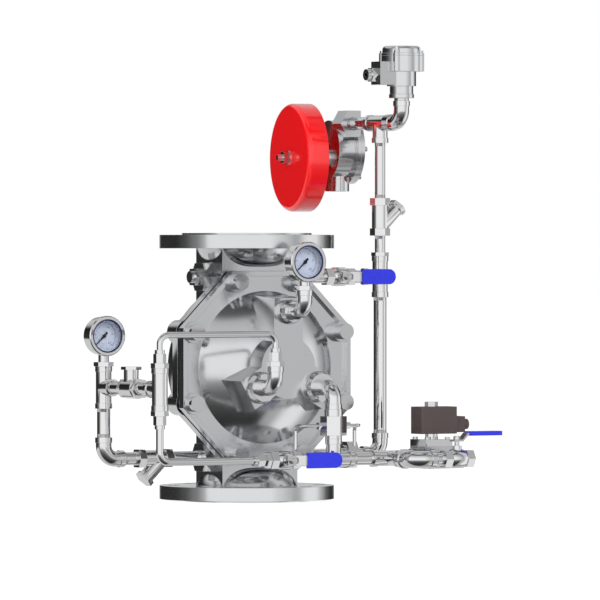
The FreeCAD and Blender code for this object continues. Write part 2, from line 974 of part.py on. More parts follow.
def gauge_bushings():
    """The hexagon bushings that carry the two gauges."""
    bushings = []
    for mouth in gauge_mouths():
        hole = gauge_thread_d + 2 * thread_clearance
        bushings.append(
            reducer(mouth, UP, gauge_bushing_flats, gauge_bushing_height, hole, gauge_thread_length)
        )
    return bushings


def gauge_mouths():
    """The upward mouths that the supply gauge and the control gauge stand on."""
    return [left_tee_centre() + UP * tee_reach, port_elbow_centre(0) + UP * elbow_reach]


def gauge_centres():
    """The middle of each gauge's dial axis."""
    heights = (gauge_axis_height, control_gauge_height)
    return [Vector(m.x, m.y, centre_z + h) for m, h in zip(gauge_mouths(), heights)]


def gauge_case(index):
    """A gauge's case with its bezel lip and screwed stem."""
    centre = gauge_centres()[index]
    mouth = gauge_mouths()[index]
    case_r = gauge_case_d / 2
    bezel_r = gauge_bezel_d / 2
    window_r = gauge_window_d / 2
    room_r = case_r - 2.5
    lip_back = gauge_front - gauge_lip
    floor = gauge_back_wall - gauge_rear
    outline = [
        (0, -gauge_rear),
        (case_r - 2, -gauge_rear),
        (case_r, 2 - gauge_rear),
        (case_r, gauge_front - 8),
        (bezel_r, gauge_front - 7.5),
        (bezel_r, gauge_front - 1.5),
        (bezel_r - 1.5, gauge_front),
        (window_r, gauge_front),
        (window_r, lip_back),
        (room_r, lip_back),
        (room_r, floor),
        (0, floor),
    ]
    case = turned(centre, FRONT, outline)
    seat = mouth + UP * gauge_bushing_height
    reach = centre.z - case_r + 4 - seat.z
    stem = rod(seat, UP, gauge_stem_d, reach)
    thread = rod(seat, DOWN, gauge_thread_d, gauge_thread_length)
    hole_d = pointer_spindle_d + 2 * running_clearance
    spindle_hole = rod(centre + FRONT * floor, BACK, hole_d, gauge_back_wall - 3)
    room = rod(centre + FRONT * floor, FRONT, 2 * room_r, lip_back - floor)
    return [joined([case, stem.cut(room), thread]).cut(spindle_hole)]


def gauge_dials():
    """The two dial plates, each on its case's floor."""
    dials = []
    for centre in gauge_centres():
        floor = centre + FRONT * (gauge_back_wall - gauge_rear)
        diameter = gauge_case_d - 5 - 0.2
        dial = rod(floor, FRONT, diameter, gauge_dial_thickness)
        hole = rod(floor, FRONT, pointer_spindle_d + 4 * running_clearance, gauge_dial_thickness)
        dials.append(dial.cut(hole))
    return dials


def gauge_glasses():
    """The two windows behind the bezel lips."""
    glasses = []
    for centre in gauge_centres():
        back = centre + FRONT * (gauge_front - gauge_lip - gauge_glass_thickness)
        glasses.append(rod(back, FRONT, gauge_case_d - 5 - 0.2, gauge_glass_thickness))
    return glasses


def gauge_pointer(index):
    """A pointer with its spindle, at rest on the dial's zero."""
    centre = gauge_centres()[index]
    floor = gauge_back_wall - gauge_rear
    height = floor + gauge_dial_thickness + 2.0
    outline = [
        (-pointer_tail, 1.8),
        (pointer_length, 0.4),
        (pointer_length, -0.4),
        (-pointer_tail, -1.8),
    ]
    angle = math.radians(pointer_rest_angle)
    along = Vector(math.sin(angle), 0, math.cos(angle))
    across = Vector(math.cos(angle), 0, -math.sin(angle))
    base = centre + FRONT * height
    points = [base + along * reach + across * width for reach, width in outline]
    blade = Part.Face(Part.makePolygon(points + [points[0]])).extrude(FRONT * pointer_thickness)
    spindle_back = centre + FRONT * (floor - gauge_back_wall + 4)
    spindle_length = height + pointer_thickness + 0.8 - (floor - gauge_back_wall + 4)
    spindle = rod(spindle_back, FRONT, pointer_spindle_d, spindle_length)
    boss = rod(base, FRONT, 5.0, pointer_thickness + 0.8)
    return [joined([upright(blade), spindle, boss])]


def left_tee_centre():
    """The tee on the left riser, with the check valve on its branch."""
    return place(left_riser_x, 0, left_tee_height)


def left_elbow_centre():
    """The elbow at the foot of the left riser."""
    return place(left_riser_x, 0, -side_port_height)


def front_tee_centre():
    """The tee in front of the check valve, between the two tube lines."""
    return place(left_riser_x, front_line_y, left_tee_height)


def left_line_fittings():
    """The riser's elbow, its tee and the tee in front of the check valve."""
    return [
        elbow(left_elbow_centre(), RIGHT, UP),
        tee(left_tee_centre(), UP, FRONT),
        tee(front_tee_centre(), UP, BACK),
    ]


def left_line_pipes():
    """The pipes from the lower left port round to the front tee."""
    port_mouth = side_port(-1, -side_port_height) + LEFT * port_hex_height
    strainer_in = place(left_strainer_start, 0, -side_port_height)
    strainer_out = strainer_in + LEFT * strainer_length
    check_in = place(left_riser_x, check_valve_start, left_tee_height)
    check_out = check_in + FRONT * check_length
    return [
        screwed_pipe(port_mouth, strainer_in),
        screwed_pipe(strainer_out, left_elbow_centre() + RIGHT * elbow_reach),
        screwed_pipe(left_elbow_centre() + UP * elbow_reach, left_tee_centre() + DOWN * tee_reach),
        screwed_pipe(left_tee_centre() + FRONT * tee_branch_reach, check_in),
        screwed_pipe(check_out, front_tee_centre() + BACK * tee_branch_reach),
    ]


def strainer_places():
    """Each strainer as its start, its flow direction and the branch's side."""
    return [
        (place(left_strainer_start, 0, -side_port_height), LEFT, DOWN),
        (place(right_riser_x, 0, right_strainer_start), UP, RIGHT),
    ]


def strainer_branch(start, along, side):
    """The branch's foot, its direction and its face's middle."""
    slant = unit(along + side)
    foot = start + along * strainer_branch_start
    return foot, slant, foot + slant * strainer_branch_length


def strainer_bodies():
    """The two Y strainers' castings."""
    bodies = []
    threads = (2 * thread_r, 2 * slim_thread_r)
    for (start, along, side), thread in zip(strainer_places(), threads):
        foot, slant, face = strainer_branch(start, along, side)
        end = start + along * strainer_length
        outer = [rod(start, along, strainer_body_d, strainer_length)]
        outer.append(prism(start, along, strainer_hex_flats, strainer_hex_length))
        outer.append(prism(end, along * -1, strainer_hex_flats, strainer_hex_length))
        outer.append(rod(foot, slant, strainer_branch_d, strainer_branch_length))
        body = joined(outer)
        body = body.cut(rod(start, along, slim_pipe_bore, strainer_length))
        body = body.cut(rod(foot, slant, strainer_bore, strainer_branch_length))
        body = body.cut(socket(start, along, thread))
        bodies.append(body.cut(socket(end, along * -1, thread)))
    return bodies


def strainer_caps():
    """The strainers' caps, each with the screen that stands on it."""
    pieces = []
    for start, along, side in strainer_places():
        foot, slant, face = strainer_branch(start, along, side)
        thread = rod(face, slant * -1, strainer_bore - 2 * thread_clearance, 7)
        head = prism(face, slant, strainer_cap_flats, strainer_cap_height)
        rim = rod(face, slant, strainer_branch_d + 4, 3)
        pieces.append(joined([thread, head, rim]))
        screen_foot = face - slant * 7
        screen_top = foot + slant * 9
        pieces.append(pipe(screen_foot, screen_top, screen_d, screen_d - 2 * screen_wall))
    return pieces


def check_cap_foot():
    """Where the check valve's cap axis crosses its flow axis."""
    return place(left_riser_x, check_valve_start - check_cap_position, left_tee_height)


def check_valve_body():
    """The swing check valve's casting with its seat and bonnet neck."""
    start = place(left_riser_x, check_valve_start, left_tee_height)
    end = start + FRONT * check_length
    cap_foot = check_cap_foot()
    outer = [rod(start, FRONT, check_body_d, check_length)]
    outer[0] = outer[0].cut(rod(start, FRONT, check_body_d, check_hex_length))
    outer[0] = outer[0].cut(rod(end, BACK, check_body_d, check_hex_length))
    outer.append(prism(start, FRONT, check_hex_flats, check_hex_length))
    outer.append(prism(end, BACK, check_hex_flats, check_hex_length))
    outer.append(rod(cap_foot, UP, strainer_branch_d, check_neck_height))
    body = joined(outer)
    seat = start + FRONT * (thread_grip + 3)
    room_length = check_length - 2 * (thread_grip + 2) - 1
    body = body.cut(rod(start, FRONT, slim_pipe_bore, check_length))
    body = body.cut(rod(seat, FRONT, check_chamber_d, room_length))
    body = body.cut(rod(cap_foot, UP, strainer_bore, check_neck_height))
    body = body.cut(socket(start, FRONT))
    body = body.cut(socket(end, BACK))
    return [body.cut(clapper_pin_hole())]


def clapper_pin_middle():
    """The middle of the clapper's hinge pin."""
    seat_y = check_valve_start - thread_grip - 3
    drop = seat_gap + clapper_thickness / 2
    return place(left_riser_x, seat_y - drop, left_tee_height + clapper_pin_height)


def clapper_pin_hole():
    """The hole across the casting that the clapper's pin turns in."""
    length = clapper_pin_length()
    start = clapper_pin_middle() + LEFT * (length / 2)
    return rod(start, RIGHT, clapper_pin_d + 2 * running_clearance, length)


def clapper_pin_length():
    """The pin's length: across the chamber and a little into each wall."""
    half_chamber = math.sqrt((check_chamber_d / 2) ** 2 - clapper_pin_height**2)
    return 2 * half_chamber + 5.0


def check_valve_clapper():
    """The clapper with its hinge pin."""
    pin = clapper_pin_middle()
    length = clapper_pin_length() - 0.6
    face = Vector(pin.x, pin.y + clapper_thickness / 2, pin.z - clapper_pin_height + 0.6)
    disc = rod(face, FRONT, clapper_d, clapper_thickness)
    arm_size = Vector(7.0, clapper_thickness, clapper_pin_height - 1.0)
    arm = block(Vector(pin.x, pin.y, pin.z - arm_size.z / 2), arm_size)
    shaft = rod(pin + LEFT * (length / 2), RIGHT, clapper_pin_d, length)
    return [joined([disc, arm, shaft])]


def check_valve_cap():
    """The hexagon cap over the check valve's bonnet neck."""
    seat = check_cap_foot() + UP * check_neck_height
    thread = rod(seat, DOWN, strainer_bore - 2 * thread_clearance, 6)
    return [joined([thread, prism(seat, UP, check_cap_flats, check_cap_height)])]


def tube_mouths():
    """The four mouths with a tube adapter: (mouth, outwards, tube diameter)."""
    return [
        (front_tee_centre() + UP * tee_reach, UP, upper_tube_d),
        (port_elbow_centre(1) + UP * elbow_reach, UP, upper_tube_d),
        (front_tee_centre() + DOWN * tee_reach, DOWN, lower_tube_d),
        (place(supply_valve_start, front_line_y, -side_port_height), LEFT, lower_tube_d),
    ]


def tube_adapters():
    """The hexagon adapters at the tube lines' ends."""
    return [tube_adapter(mouth, outwards, size) for mouth, outwards, size in tube_mouths()]


def compression_tubes():
    """The upper sensing tube and the lower supply tube."""
    mouths = tube_mouths()
    top = centre_z + upper_tube_height
    start = tube_end(mouths[0][0], UP)
    end = tube_end(mouths[1][0], UP)
    upper = [start, Vector(start.x, start.y, top), Vector(end.x, end.y, top), end]
    start = tube_end(mouths[2][0], DOWN)
    end = tube_end(mouths[3][0], LEFT)
    lower = [start, Vector(start.x, start.y, end.z), end]
    return [bent_tube(upper, tube_bend, upper_tube_d), bent_tube(lower, tube_bend, lower_tube_d)]


def compression_nuts():
    """The nuts on the tube lines and on the relief valve's two drip tubes."""
    nuts = [tube_nut(mouth, outwards, size) for mouth, outwards, size in tube_mouths()]
    for side in (-1, 1):
        face = relief_side_face(side)
        nut = prism(face, RIGHT * side, small_nut_flats, small_nut_length)
        hole = rod(face, RIGHT * side, relief_tube_d + 2 * tube_clearance, small_nut_length)
        nuts.append(nut.cut(hole))
    return nuts


def relief_foot():
    """The lower end of the relief valve's body: the front tee's upward mouth."""
    return place(front_tee_x, front_line_y, -side_port_height) + UP * tee_branch_reach


def relief_top():
    """The upper end of the relief valve's body: the lower right elbow's mouth."""
    return port_elbow_centre(2) + DOWN * elbow_reach


def relief_hex_bottom():
    """The height of the hexagon's lower face."""
    return relief_top().z - relief_collar_height - relief_hex_height


def relief_middle():
    """The middle of the relief valve's hexagon."""
    foot = relief_foot()
    return Vector(foot.x, foot.y, relief_hex_bottom() + relief_hex_height / 2)


def relief_side_face(side):
    """The middle of a side flat of the hexagon."""
    return relief_middle() + RIGHT * (side * relief_flats / 2)


def relief_body():
    """The relief valve's hexagon body with a screwed end at the top and the bottom."""
    foot = relief_foot()
    top = relief_top()
    hex_start = Vector(foot.x, foot.y, relief_hex_bottom())
    middle = relief_middle()
    outer = [
        spigot(foot, DOWN),
        rod(foot, UP, relief_neck_d, hex_start.z - foot.z),
        prism(hex_start, UP, relief_flats, relief_hex_height),
        rod(top, DOWN, relief_collar_d, relief_collar_height),
        spigot(top, UP),
    ]
    body = joined(outer)
    low_end = foot + DOWN * thread_grip
    body = body.cut(rod(low_end, UP, relief_waterway_d, top.z - foot.z + 2 * thread_grip))
    body = body.cut(relief_chamber())
    for side in (-1, 1):
        hole_d = relief_tube_d + 2 * tube_clearance
        body = body.cut(rod(relief_side_face(side), LEFT * side, hole_d, tube_grip))
        body = body.cut(rod(middle, RIGHT * side, 2.0, relief_flats / 2))
    return [body]


def relief_chamber():
    """The cylinder that the relief piston slides in."""
    middle = relief_middle()
    start = middle + DOWN * (relief_chamber_length / 2)
    return rod(start, UP, relief_chamber_d, relief_chamber_length)


def relief_piston():
    """The relief valve's piston, resting on the lower shoulder."""
    middle = relief_middle()
    start = middle + DOWN * (relief_chamber_length / 2 - seat_gap)
    outline = [
        (0, 0),
        (relief_waterway_d / 2 + 1, 0),
        (relief_chamber_d / 2 - running_clearance, 2.5),
        (relief_chamber_d / 2 - running_clearance, relief_piston_length),
        (0, relief_piston_length),
    ]
    return [turned(start, UP, outline)]


def relief_tubes():
    """The two thin drip tubes that leave the relief valve and turn back and down."""
    tubes = []
    for side, offset, back, drop in (
        (-1, relief_tube_offset_left, relief_tube_back_left, relief_tube_drop_left),
        (1, relief_tube_offset_right, relief_tube_back_right, relief_tube_drop_right),
    ):
        start = relief_side_face(side) - RIGHT * (side * tube_grip)
        corner = Vector(front_tee_x + offset, start.y, start.z)
        behind = corner + BACK * back
        tubes.append(bent_tube([start, corner, behind, behind + DOWN * drop], relief_tube_bend, relief_tube_d))
    return tubes


def front_line_centres():
    """The front tee, the junction tee and the release line's elbow."""
    front = place(front_tee_x, front_line_y, -side_port_height)
    junction = place(junction_x, front_line_y, -side_port_height)
    corner = place(junction_x, release_line_y, -side_port_height)
    return front, junction, corner


def front_line_fittings():
    """The tees of the lower front line and the elbow of the release line."""
    front, junction, corner = front_line_centres()
    return [
        tee(front, RIGHT, UP),
        tee(junction, RIGHT, FRONT),
        elbow(corner, BACK, RIGHT, large_fitting_d, large_band_d),
    ]


def front_line_pipes():
    """The nipples of the lower front line."""
    front, junction, corner = front_line_centres()
    valve_end = place(supply_valve_start + valve_length, front_line_y, -side_port_height)
    release_end = place(release_valve_start, release_line_y, -side_port_height)
    solenoid_end = place(solenoid_x - solenoid_length / 2, front_line_y, -side_port_height)
    nipples = [
        screwed_pipe(valve_end, front + LEFT * tee_reach),
        screwed_pipe(front + RIGHT * tee_reach, junction + LEFT * tee_reach),
        screwed_pipe(junction + FRONT * tee_branch_reach, corner + BACK * elbow_reach),
        screwed_pipe(corner + RIGHT * elbow_reach, release_end),
        screwed_pipe(junction + RIGHT * tee_reach, solenoid_end),
    ]
    return nipples


def ball_valve_places():
    """Each ball valve as its start, flow direction, stem direction and lever direction."""
    return {
        "supply_valve": (place(supply_valve_start, front_line_y, -side_port_height), FRONT),
        "alarm_valve": (place(alarm_valve_start, 0, side_port_height), FRONT),
        "release_valve": (place(release_valve_start, release_line_y, -side_port_height), UP),
    }


def ball_valve_middle(name):
    """The middle of a ball valve and its stem's direction."""
    start, stem = ball_valve_places()[name]
    return start + RIGHT * (valve_length / 2), stem


def ball_valve_body(name):
    """A ball valve's casing with a hexagon at each end and the stem's boss."""
    start = ball_valve_places()[name][0]
    middle, stem = ball_valve_middle(name)
    end = start + RIGHT * valve_length
    waist = (valve_hex_flats + valve_housing_d) / 4
    hex_end = valve_hex_length
    outline = [
        (0, hex_end - 2),
        (waist - 2, hex_end - 2),
        (valve_housing_d / 2, hex_end + 4),
        (valve_housing_d / 2, valve_length - hex_end - 4),
        (waist - 2, valve_length - hex_end + 2),
        (0, valve_length - hex_end + 2),
    ]
    outer = [turned(start, RIGHT, outline)]
    outer.append(prism(start, RIGHT, valve_hex_flats, valve_hex_length))
    outer.append(prism(end, LEFT, valve_hex_flats, valve_hex_length))
    outer.append(rod(middle, stem, valve_stem_boss_d, valve_stem_boss_height))
    room_length = valve_ball_d * 0.8 + 2 * seat_gap
    room_start = middle + LEFT * (room_length / 2)
    body = joined(outer)
    body = body.cut(rod(start, RIGHT, valve_port_d, valve_length))
    body = body.cut(rod(room_start, RIGHT, valve_ball_d + 2 * seat_gap, room_length))
    body = body.cut(socket(start, RIGHT))
    body = body.cut(socket(end, LEFT))
    hole_d = valve_stem_d + 2 * running_clearance
    return [body.cut(rod(middle, stem, hole_d, valve_stem_boss_height))]


def ball_valve_stem(name):
    """The bored ball with its stem, and the nut that holds the lever."""
    middle, stem = ball_valve_middle(name)
    ball_r = valve_ball_d / 2
    face = valve_ball_d * 0.4
    face_r = math.sqrt(ball_r**2 - face**2)
    outline = [(0, -face), (face_r, -face), (ball_r, 0, face_r, face), (0, face)]
    ball = turned(middle, RIGHT, outline)
    stem_top = lever_height + lever_thickness + valve_stem_nut_height + 1
    ball = joined([ball, rod(middle + stem * (ball_r * 0.7), stem, valve_stem_d, stem_top - ball_r * 0.7)])
    ball = ball.cut(rod(middle + LEFT * ball_r, RIGHT, valve_port_d, valve_ball_d))
    nut_seat = middle + stem * (lever_height + lever_thickness)
    nut = prism(nut_seat, stem, valve_stem_nut_flats, valve_stem_nut_height)
    nut = nut.cut(rod(nut_seat, stem, valve_stem_d + 2 * thread_clearance, valve_stem_nut_height))
    return [ball, nut]


def strap(middle, stem, corners, width):
    """A flat strip whose side view lists (along, from the axis) corners."""
    across = RIGHT.cross(stem)
    points = [middle + RIGHT * along + stem * out - across * (width / 2) for along, out in corners]
    face = Part.Face(Part.makePolygon(points + [points[0]]))
    return upright(face.extrude(across * width))


def ball_valve_lever(name):
    """The cranked steel lever."""
    middle, stem = ball_valve_middle(name)
    low = lever_height
    high = lever_height + lever_rise
    slant = lever_rise
    skew = lever_thickness * math.tan(math.radians(22.5))
    corners = [
        (-lever_heel, low),
        (lever_knee, low),
        (lever_knee + slant, high),
        (lever_length, high),
        (lever_length, high + lever_thickness),
        (lever_knee + slant - skew, high + lever_thickness),
        (lever_knee - skew, low + lever_thickness),
        (-lever_heel, low + lever_thickness),
    ]
    lever = strap(middle, stem, corners, lever_width)
    foot = middle + stem * low
    hole = rod(foot, stem, valve_stem_d + 2 * thread_clearance, lever_thickness)
    return [lever.cut(hole)]


def ball_valve_grip(name):
    """The plastic sleeve over the lever's end."""
    middle, stem = ball_valve_middle(name)
    across = RIGHT.cross(stem)
    low = lever_height + lever_rise - (grip_thickness - lever_thickness) / 2
    half = grip_width / 2
    tip = grip_start + grip_length - half
    base = middle + stem * low
    outline = [(grip_start, -half), (tip, -half), (tip, half), (grip_start, half)]
    a, b, c, d = [base + RIGHT * along + across * side for along, side in outline]
    far = base + RIGHT * (grip_start + grip_length)
    wire = Part.Wire(
        [Part.makeLine(a, b), Part.Arc(b, far, c).toShape(), Part.makeLine(c, d), Part.makeLine(d, a)]
    )
    sleeve = upright(Part.Face(wire).extrude(stem * grip_thickness))
    low_strap = lever_height + lever_rise
    corners = [
        (0, low_strap),
        (lever_length, low_strap),
        (lever_length, low_strap + lever_thickness),
        (0, low_strap + lever_thickness),
    ]
    return [sleeve.cut(strap(middle, stem, corners, lever_width))]


def solenoid_point(x, height):
    """A point on the solenoid valve's middle plane."""
    return place(solenoid_x + x, front_line_y, height)


def bonnet_screw_places(height):
    """The four bonnet screws' centres at a height."""
    half = bonnet_screw_spacing / 2
    places = []
    for across in (-half, half):
        for deep in (-half, half):
            places.append(solenoid_point(across, height) + BACK * deep)
    return places


def solenoid_body():
    """The solenoid valve's block with round screwed ends."""
    height = solenoid_block_top - solenoid_block_bottom
    middle = solenoid_point(0, (solenoid_block_top + solenoid_block_bottom) / 2)
    half = solenoid_length / 2
    line = -side_port_height
    outer = [
        block(middle, Vector(solenoid_block, solenoid_block, height)),
        rod(solenoid_point(-half, line), RIGHT, solenoid_end_d, solenoid_length),
    ]
    floor = solenoid_block_top - solenoid_chamber_depth
    body = joined(outer)
    body = body.cut(rod(solenoid_point(0, floor), UP, solenoid_chamber_d, solenoid_chamber_depth))
    body = body.cut(rod(solenoid_point(0, line), UP, solenoid_seat_d, floor - line))
    body = body.cut(rod(solenoid_point(0, line), RIGHT, slim_pipe_bore, half))
    inlet_end = -solenoid_chamber_d / 2 + 5
    body = body.cut(rod(solenoid_point(-half, line), RIGHT, slim_pipe_bore, half + inlet_end))
    body = body.cut(rod(solenoid_point(inlet_end, line), UP, solenoid_seat_d, floor - line))
    body = body.cut(socket(solenoid_point(-half, line), RIGHT))
    body = body.cut(socket(solenoid_point(half, line), LEFT))
    for point in bonnet_screw_places(solenoid_block_top):
        body = body.cut(rod(point, DOWN, screw_d + 2 * thread_clearance, 12))
    return [body]


def solenoid_bonnet():
    """The square bonnet with the core tube that carries the coil."""
    base = solenoid_block_top
    neck = base + bonnet_thickness
    coil_base = neck + core_neck_height
    plate = block(
        solenoid_point(0, base + bonnet_thickness / 2),
        Vector(solenoid_block, solenoid_block, bonnet_thickness),
    )
    outer = [
        plate,
        rod(solenoid_point(0, neck), UP, core_neck_d, core_neck_height),
        rod(solenoid_point(0, coil_base), UP, core_tube_d, core_tube_height),
    ]
    bore_d = core_bore_d + 2 * running_clearance
    bonnet = joined(outer).cut(rod(solenoid_point(0, base), UP, bore_d, core_bore_height))
    for point in bonnet_screw_places(base):
        bonnet = bonnet.cut(rod(point, UP, screw_d + 2 * thread_clearance, bonnet_thickness))
    return [bonnet]


def solenoid_plunger():
    """The armature with its seat disc, at rest on the solenoid valve's seat."""
    floor = solenoid_block_top - solenoid_chamber_depth
    start = solenoid_point(0, floor + seat_gap)
    outline = [
        (0, 0),
        (solenoid_seat_d / 2 + 3, 0),
        (solenoid_seat_d / 2 + 3, 3),
        (core_bore_d / 2, 3),
        (core_bore_d / 2, plunger_length),
        (0, plunger_length),
    ]
    return [turned(start, UP, outline)]


def coil_base_height():
    """The height of the coil's lower face."""
    return solenoid_block_top + bonnet_thickness + core_neck_height


def solenoid_coil():
    """The moulded coil housing round the core tube."""
    base = coil_base_height()
    width = coil_left + coil_right
    middle = solenoid_point((coil_right - coil_left) / 2, base + coil_height / 2)
    box = block(middle, Vector(width, coil_depth, coil_height))
    upright_edges = []
    for edge in box.Edges:
        if abs(edge.tangentAt(edge.FirstParameter).z) > 0.9:
            upright_edges.append(edge)
    box = box.makeFillet(3.0, upright_edges)
    hole_d = core_tube_d + 2 * thread_clearance
    return [box.cut(rod(solenoid_point(0, base), UP, hole_d, coil_height))]


def solenoid_connector():
    """The cable plug on the coil's right side with its gland."""
    bottom = coil_base_height() + connector_height_above_coil_base
    left = solenoid_point(coil_right, bottom)
    size = Vector(connector_length, connector_width, connector_height)
    plug = block(left + Vector(size.x / 2, 0, size.z / 2), size)
    gland_start = left + Vector(size.x, 0, size.z / 2)
    gland = rod(gland_start, RIGHT, connector_gland_d, connector_gland_length)
    hole_start = gland_start + RIGHT * connector_gland_length
    hole = rod(hole_start, LEFT, cable_hole_d, connector_gland_length + size.x / 2)
    return [joined([plug, gland]).cut(hole)]


def coil_nut():
    """The nut on top of the coil."""
    seat = solenoid_point(0, coil_base_height() + coil_height)
    nut = prism(seat, UP, coil_nut_flats, coil_nut_height)
    return [nut.cut(rod(seat, UP, core_tube_d + 2 * thread_clearance, core_tube_height - coil_height))]


def machine_screw(seat, outwards, length):
    """A cheese head screw with its head on the seat."""
    head = rod(seat, outwards, screw_head_d, screw_head_height)
    return joined([head, rod(seat, outwards * -1, screw_d, length)])


def motor_axis():
    """The motor's axis direction, from the drain towards the gong."""
    angle = math.radians(motor_turn)
    return Vector(-math.cos(angle), math.sin(angle), 0)


def motor_point(along, height=motor_shaft_height):
    """A point on the motor's middle plane, along its axis from the drain."""
    return place(right_riser_x, motor_y, height) + motor_axis() * along


def motor_casing_point(along):
    """A point on the casing's own centre line, above the shaft."""
    return motor_point(along, motor_shaft_height + motor_casing_offset)


def motor_screw_places(along):
    """The screws round the motor's flange."""
    places = []
    across = unit(motor_axis().cross(UP))
    for number in range(motor_screw_count):
        angle = math.radians(number * 360.0 / motor_screw_count)
        reach = motor_screw_circle_d / 2
        offset = across * (reach * math.cos(angle)) + UP * (reach * math.sin(angle))
        places.append(motor_casing_point(along) + offset)
    return places


def housing_screws():
    """The screws of the solenoid bonnet and of the water motor's cover."""
    screws = []
    for point in bonnet_screw_places(solenoid_block_top + bonnet_thickness):
        screws.append(machine_screw(point, UP, bonnet_thickness + 10))
    for point in motor_screw_places(motor_rear):
        screws.append(machine_screw(point, motor_axis() * -1, 2 * motor_flange_thickness))
    return screws


def switch_foot():
    """The upward mouth that the pressure switch is screwed into."""
    return top_elbow_centre() + UP * elbow_reach


def top_elbow_centre():
    """The elbow in front of the top tee."""
    y = -(tee_reach + elbow_reach)
    return place(right_riser_x, y, top_tee_height)


def switch_levels():
    """The heights of the pressure switch's steps above its foot."""
    neck = switch_neck_height
    under = neck + switch_flange_height
    stage = under + switch_stage_height
    drum = stage + switch_body_height
    return neck, under, stage, drum, drum + switch_drum_height


def pressure_switch_base():
    """The switch's screwed foot, pressure stage and drum, with the cable entry box."""
    foot = switch_foot()
    neck, under, stage, drum, rim = switch_levels()
    drum_r = switch_drum_d / 2
    room_r = drum_r - switch_drum_wall
    bore_r = switch_pressure_bore_d / 2 + running_clearance
    outline = [
        (bore_r, -thread_grip),
        (pipe_r, -thread_grip),
        (pipe_r, 0),
        (switch_neck_d / 2, 0),
        (switch_neck_d / 2, neck),
        (switch_flange_d / 2, neck),
        (switch_flange_d / 2, under),
        (switch_stage_d / 2, under),
        (switch_stage_d / 2, stage),
        (switch_body_d / 2, stage),
        (switch_body_d / 2, drum),
        (drum_r, drum),
        (drum_r, rim),
        (room_r, rim),
        (room_r, drum + switch_drum_wall),
        (bore_r, drum + switch_drum_wall),
    ]
    base = turned(foot, UP, outline)
    entry = switch_entry_box()
    room = rod(foot + UP * (drum + switch_drum_wall), UP, 2 * room_r, rim - drum)
    solid_foot = rod(foot + UP * stage, UP, switch_body_d, drum + switch_drum_wall - stage)
    entry = entry.cut(room).cut(solid_foot)
    entry = entry.cut(rod(switch_gland_seat(), RIGHT, cable_hole_d + 6, switch_entry_reach / 2))
    outer = [base, entry]
    holes = []
    for point in switch_lug_places(drum):
        outer.append(rod(point, UP, switch_lug_d, switch_drum_height).cut(room))
        top = point + UP * switch_drum_height
        holes.append(rod(top, DOWN, screw_d + 2 * thread_clearance, 10))
    return [joined(outer).cut(Part.makeCompound(holes))]


def switch_lug_places(level):
    """The lugs round the drum, at a height above the switch's foot."""
    places = []
    reach = switch_drum_d / 2 - 0.5
    for number in range(switch_lug_count):
        angle = math.radians((number + 0.5) * 360.0 / switch_lug_count)
        offset = Vector(math.cos(angle), math.sin(angle), 0) * reach
        places.append(switch_foot() + UP * level + offset)
    return places


def switch_entry_box():
    """The cable entry box on the left of the drum."""
    foot = switch_foot()
    drum = switch_levels()[3]
    bottom = drum - switch_entry_drop
    size = Vector(switch_entry_reach, switch_entry_width, switch_entry_height)
    middle = foot + LEFT * (switch_entry_reach / 2) + UP * (bottom + switch_entry_height / 2)
    return block(middle, size)


def switch_gland_seat():
    """The middle of the entry box's outer face, where the gland is screwed in."""
    drum = switch_levels()[3]
    height = drum - switch_entry_drop + switch_entry_height * 0.42
    return switch_foot() + LEFT * switch_entry_reach + UP * height


def pressure_switch_cap():
    """The switch's lid with its rounded edge and screw lugs."""
    rim = switch_levels()[4]
    start = switch_foot() + UP * rim
    cap_r = switch_cap_d / 2
    edge = 6.0
    outline = [
        (0, 0),
        (switch_drum_d / 2, 0),
        (switch_drum_d / 2, 4),
        (cap_r, 4),
        (cap_r, switch_cap_height - edge),
        (cap_r - 1.8, switch_cap_height - 1.8, cap_r - edge, switch_cap_height),
        (0, switch_cap_height),
    ]
    outer = [turned(start, UP, outline)]
    holes = []
    for point in switch_lug_places(rim):
        outer.append(rod(point, UP, switch_lug_d, 4))
        holes.append(rod(point, UP, screw_d + 2 * thread_clearance, 4))
        holes.append(rod(point + UP * 4, UP, screw_head_d + 1, switch_cap_height))
    return [joined(outer).cut(Part.makeCompound(holes))]


def pressure_switch_plunger():
    """The plunger that water pressure lifts against the switch."""
    start = switch_foot() + UP * (2 - thread_grip)
    head = switch_levels()[3] + switch_drum_wall + seat_gap
    head_start = head + thread_grip - 2
    bore_r = switch_pressure_bore_d / 2
    outline = [
        (0, 0),
        (bore_r, 0),
        (bore_r, head_start),
        (bore_r + 4, head_start),
        (bore_r + 4, head_start + 3),
        (0, head_start + 3),
    ]
    return [turned(start, UP, outline)]


def switch_gland():
    """The cable gland in the entry box."""
    seat = switch_gland_seat()
    grip = 6.0
    thread = rod(seat, RIGHT, cable_hole_d + 6 - 2 * thread_clearance, grip)
    body = prism(seat, LEFT, switch_gland_flats, switch_gland_length * 0.6)
    nose = rod(seat, LEFT, switch_gland_flats * 0.85, switch_gland_length)
    hole = rod(seat + LEFT * switch_gland_length, RIGHT, cable_hole_d, switch_gland_length + grip)
    return [joined([thread, body, nose]).cut(hole)]


def switch_screws():
    """The screws that hold the switch's lid."""
    rim = switch_levels()[4]
    return [machine_screw(point, UP, 12) for point in switch_lug_places(rim + 4)]


def right_line_centres():
    """The right riser's foot elbow, its tee and the top tee."""
    foot = place(right_riser_x, 0, -side_port_height)
    middle = place(right_riser_x, 0, side_port_height)
    top = place(right_riser_x, 0, top_tee_height)
    return foot, middle, top


def right_line_fittings():
    """The foot elbow, the tee at the alarm valve, the top tee and the elbow before the switch."""
    foot, middle, top = right_line_centres()
    return [
        elbow(foot, LEFT, UP),
        tee(middle, UP, LEFT, 2 * thread_r),
        tee(top, BACK, DOWN, 2 * thread_r, 2 * slim_thread_r),
    ]


def top_elbow():
    """The elbow under the pressure switch, with a nipple's length to the top tee."""
    return [elbow(top_elbow_centre(), BACK, UP)]


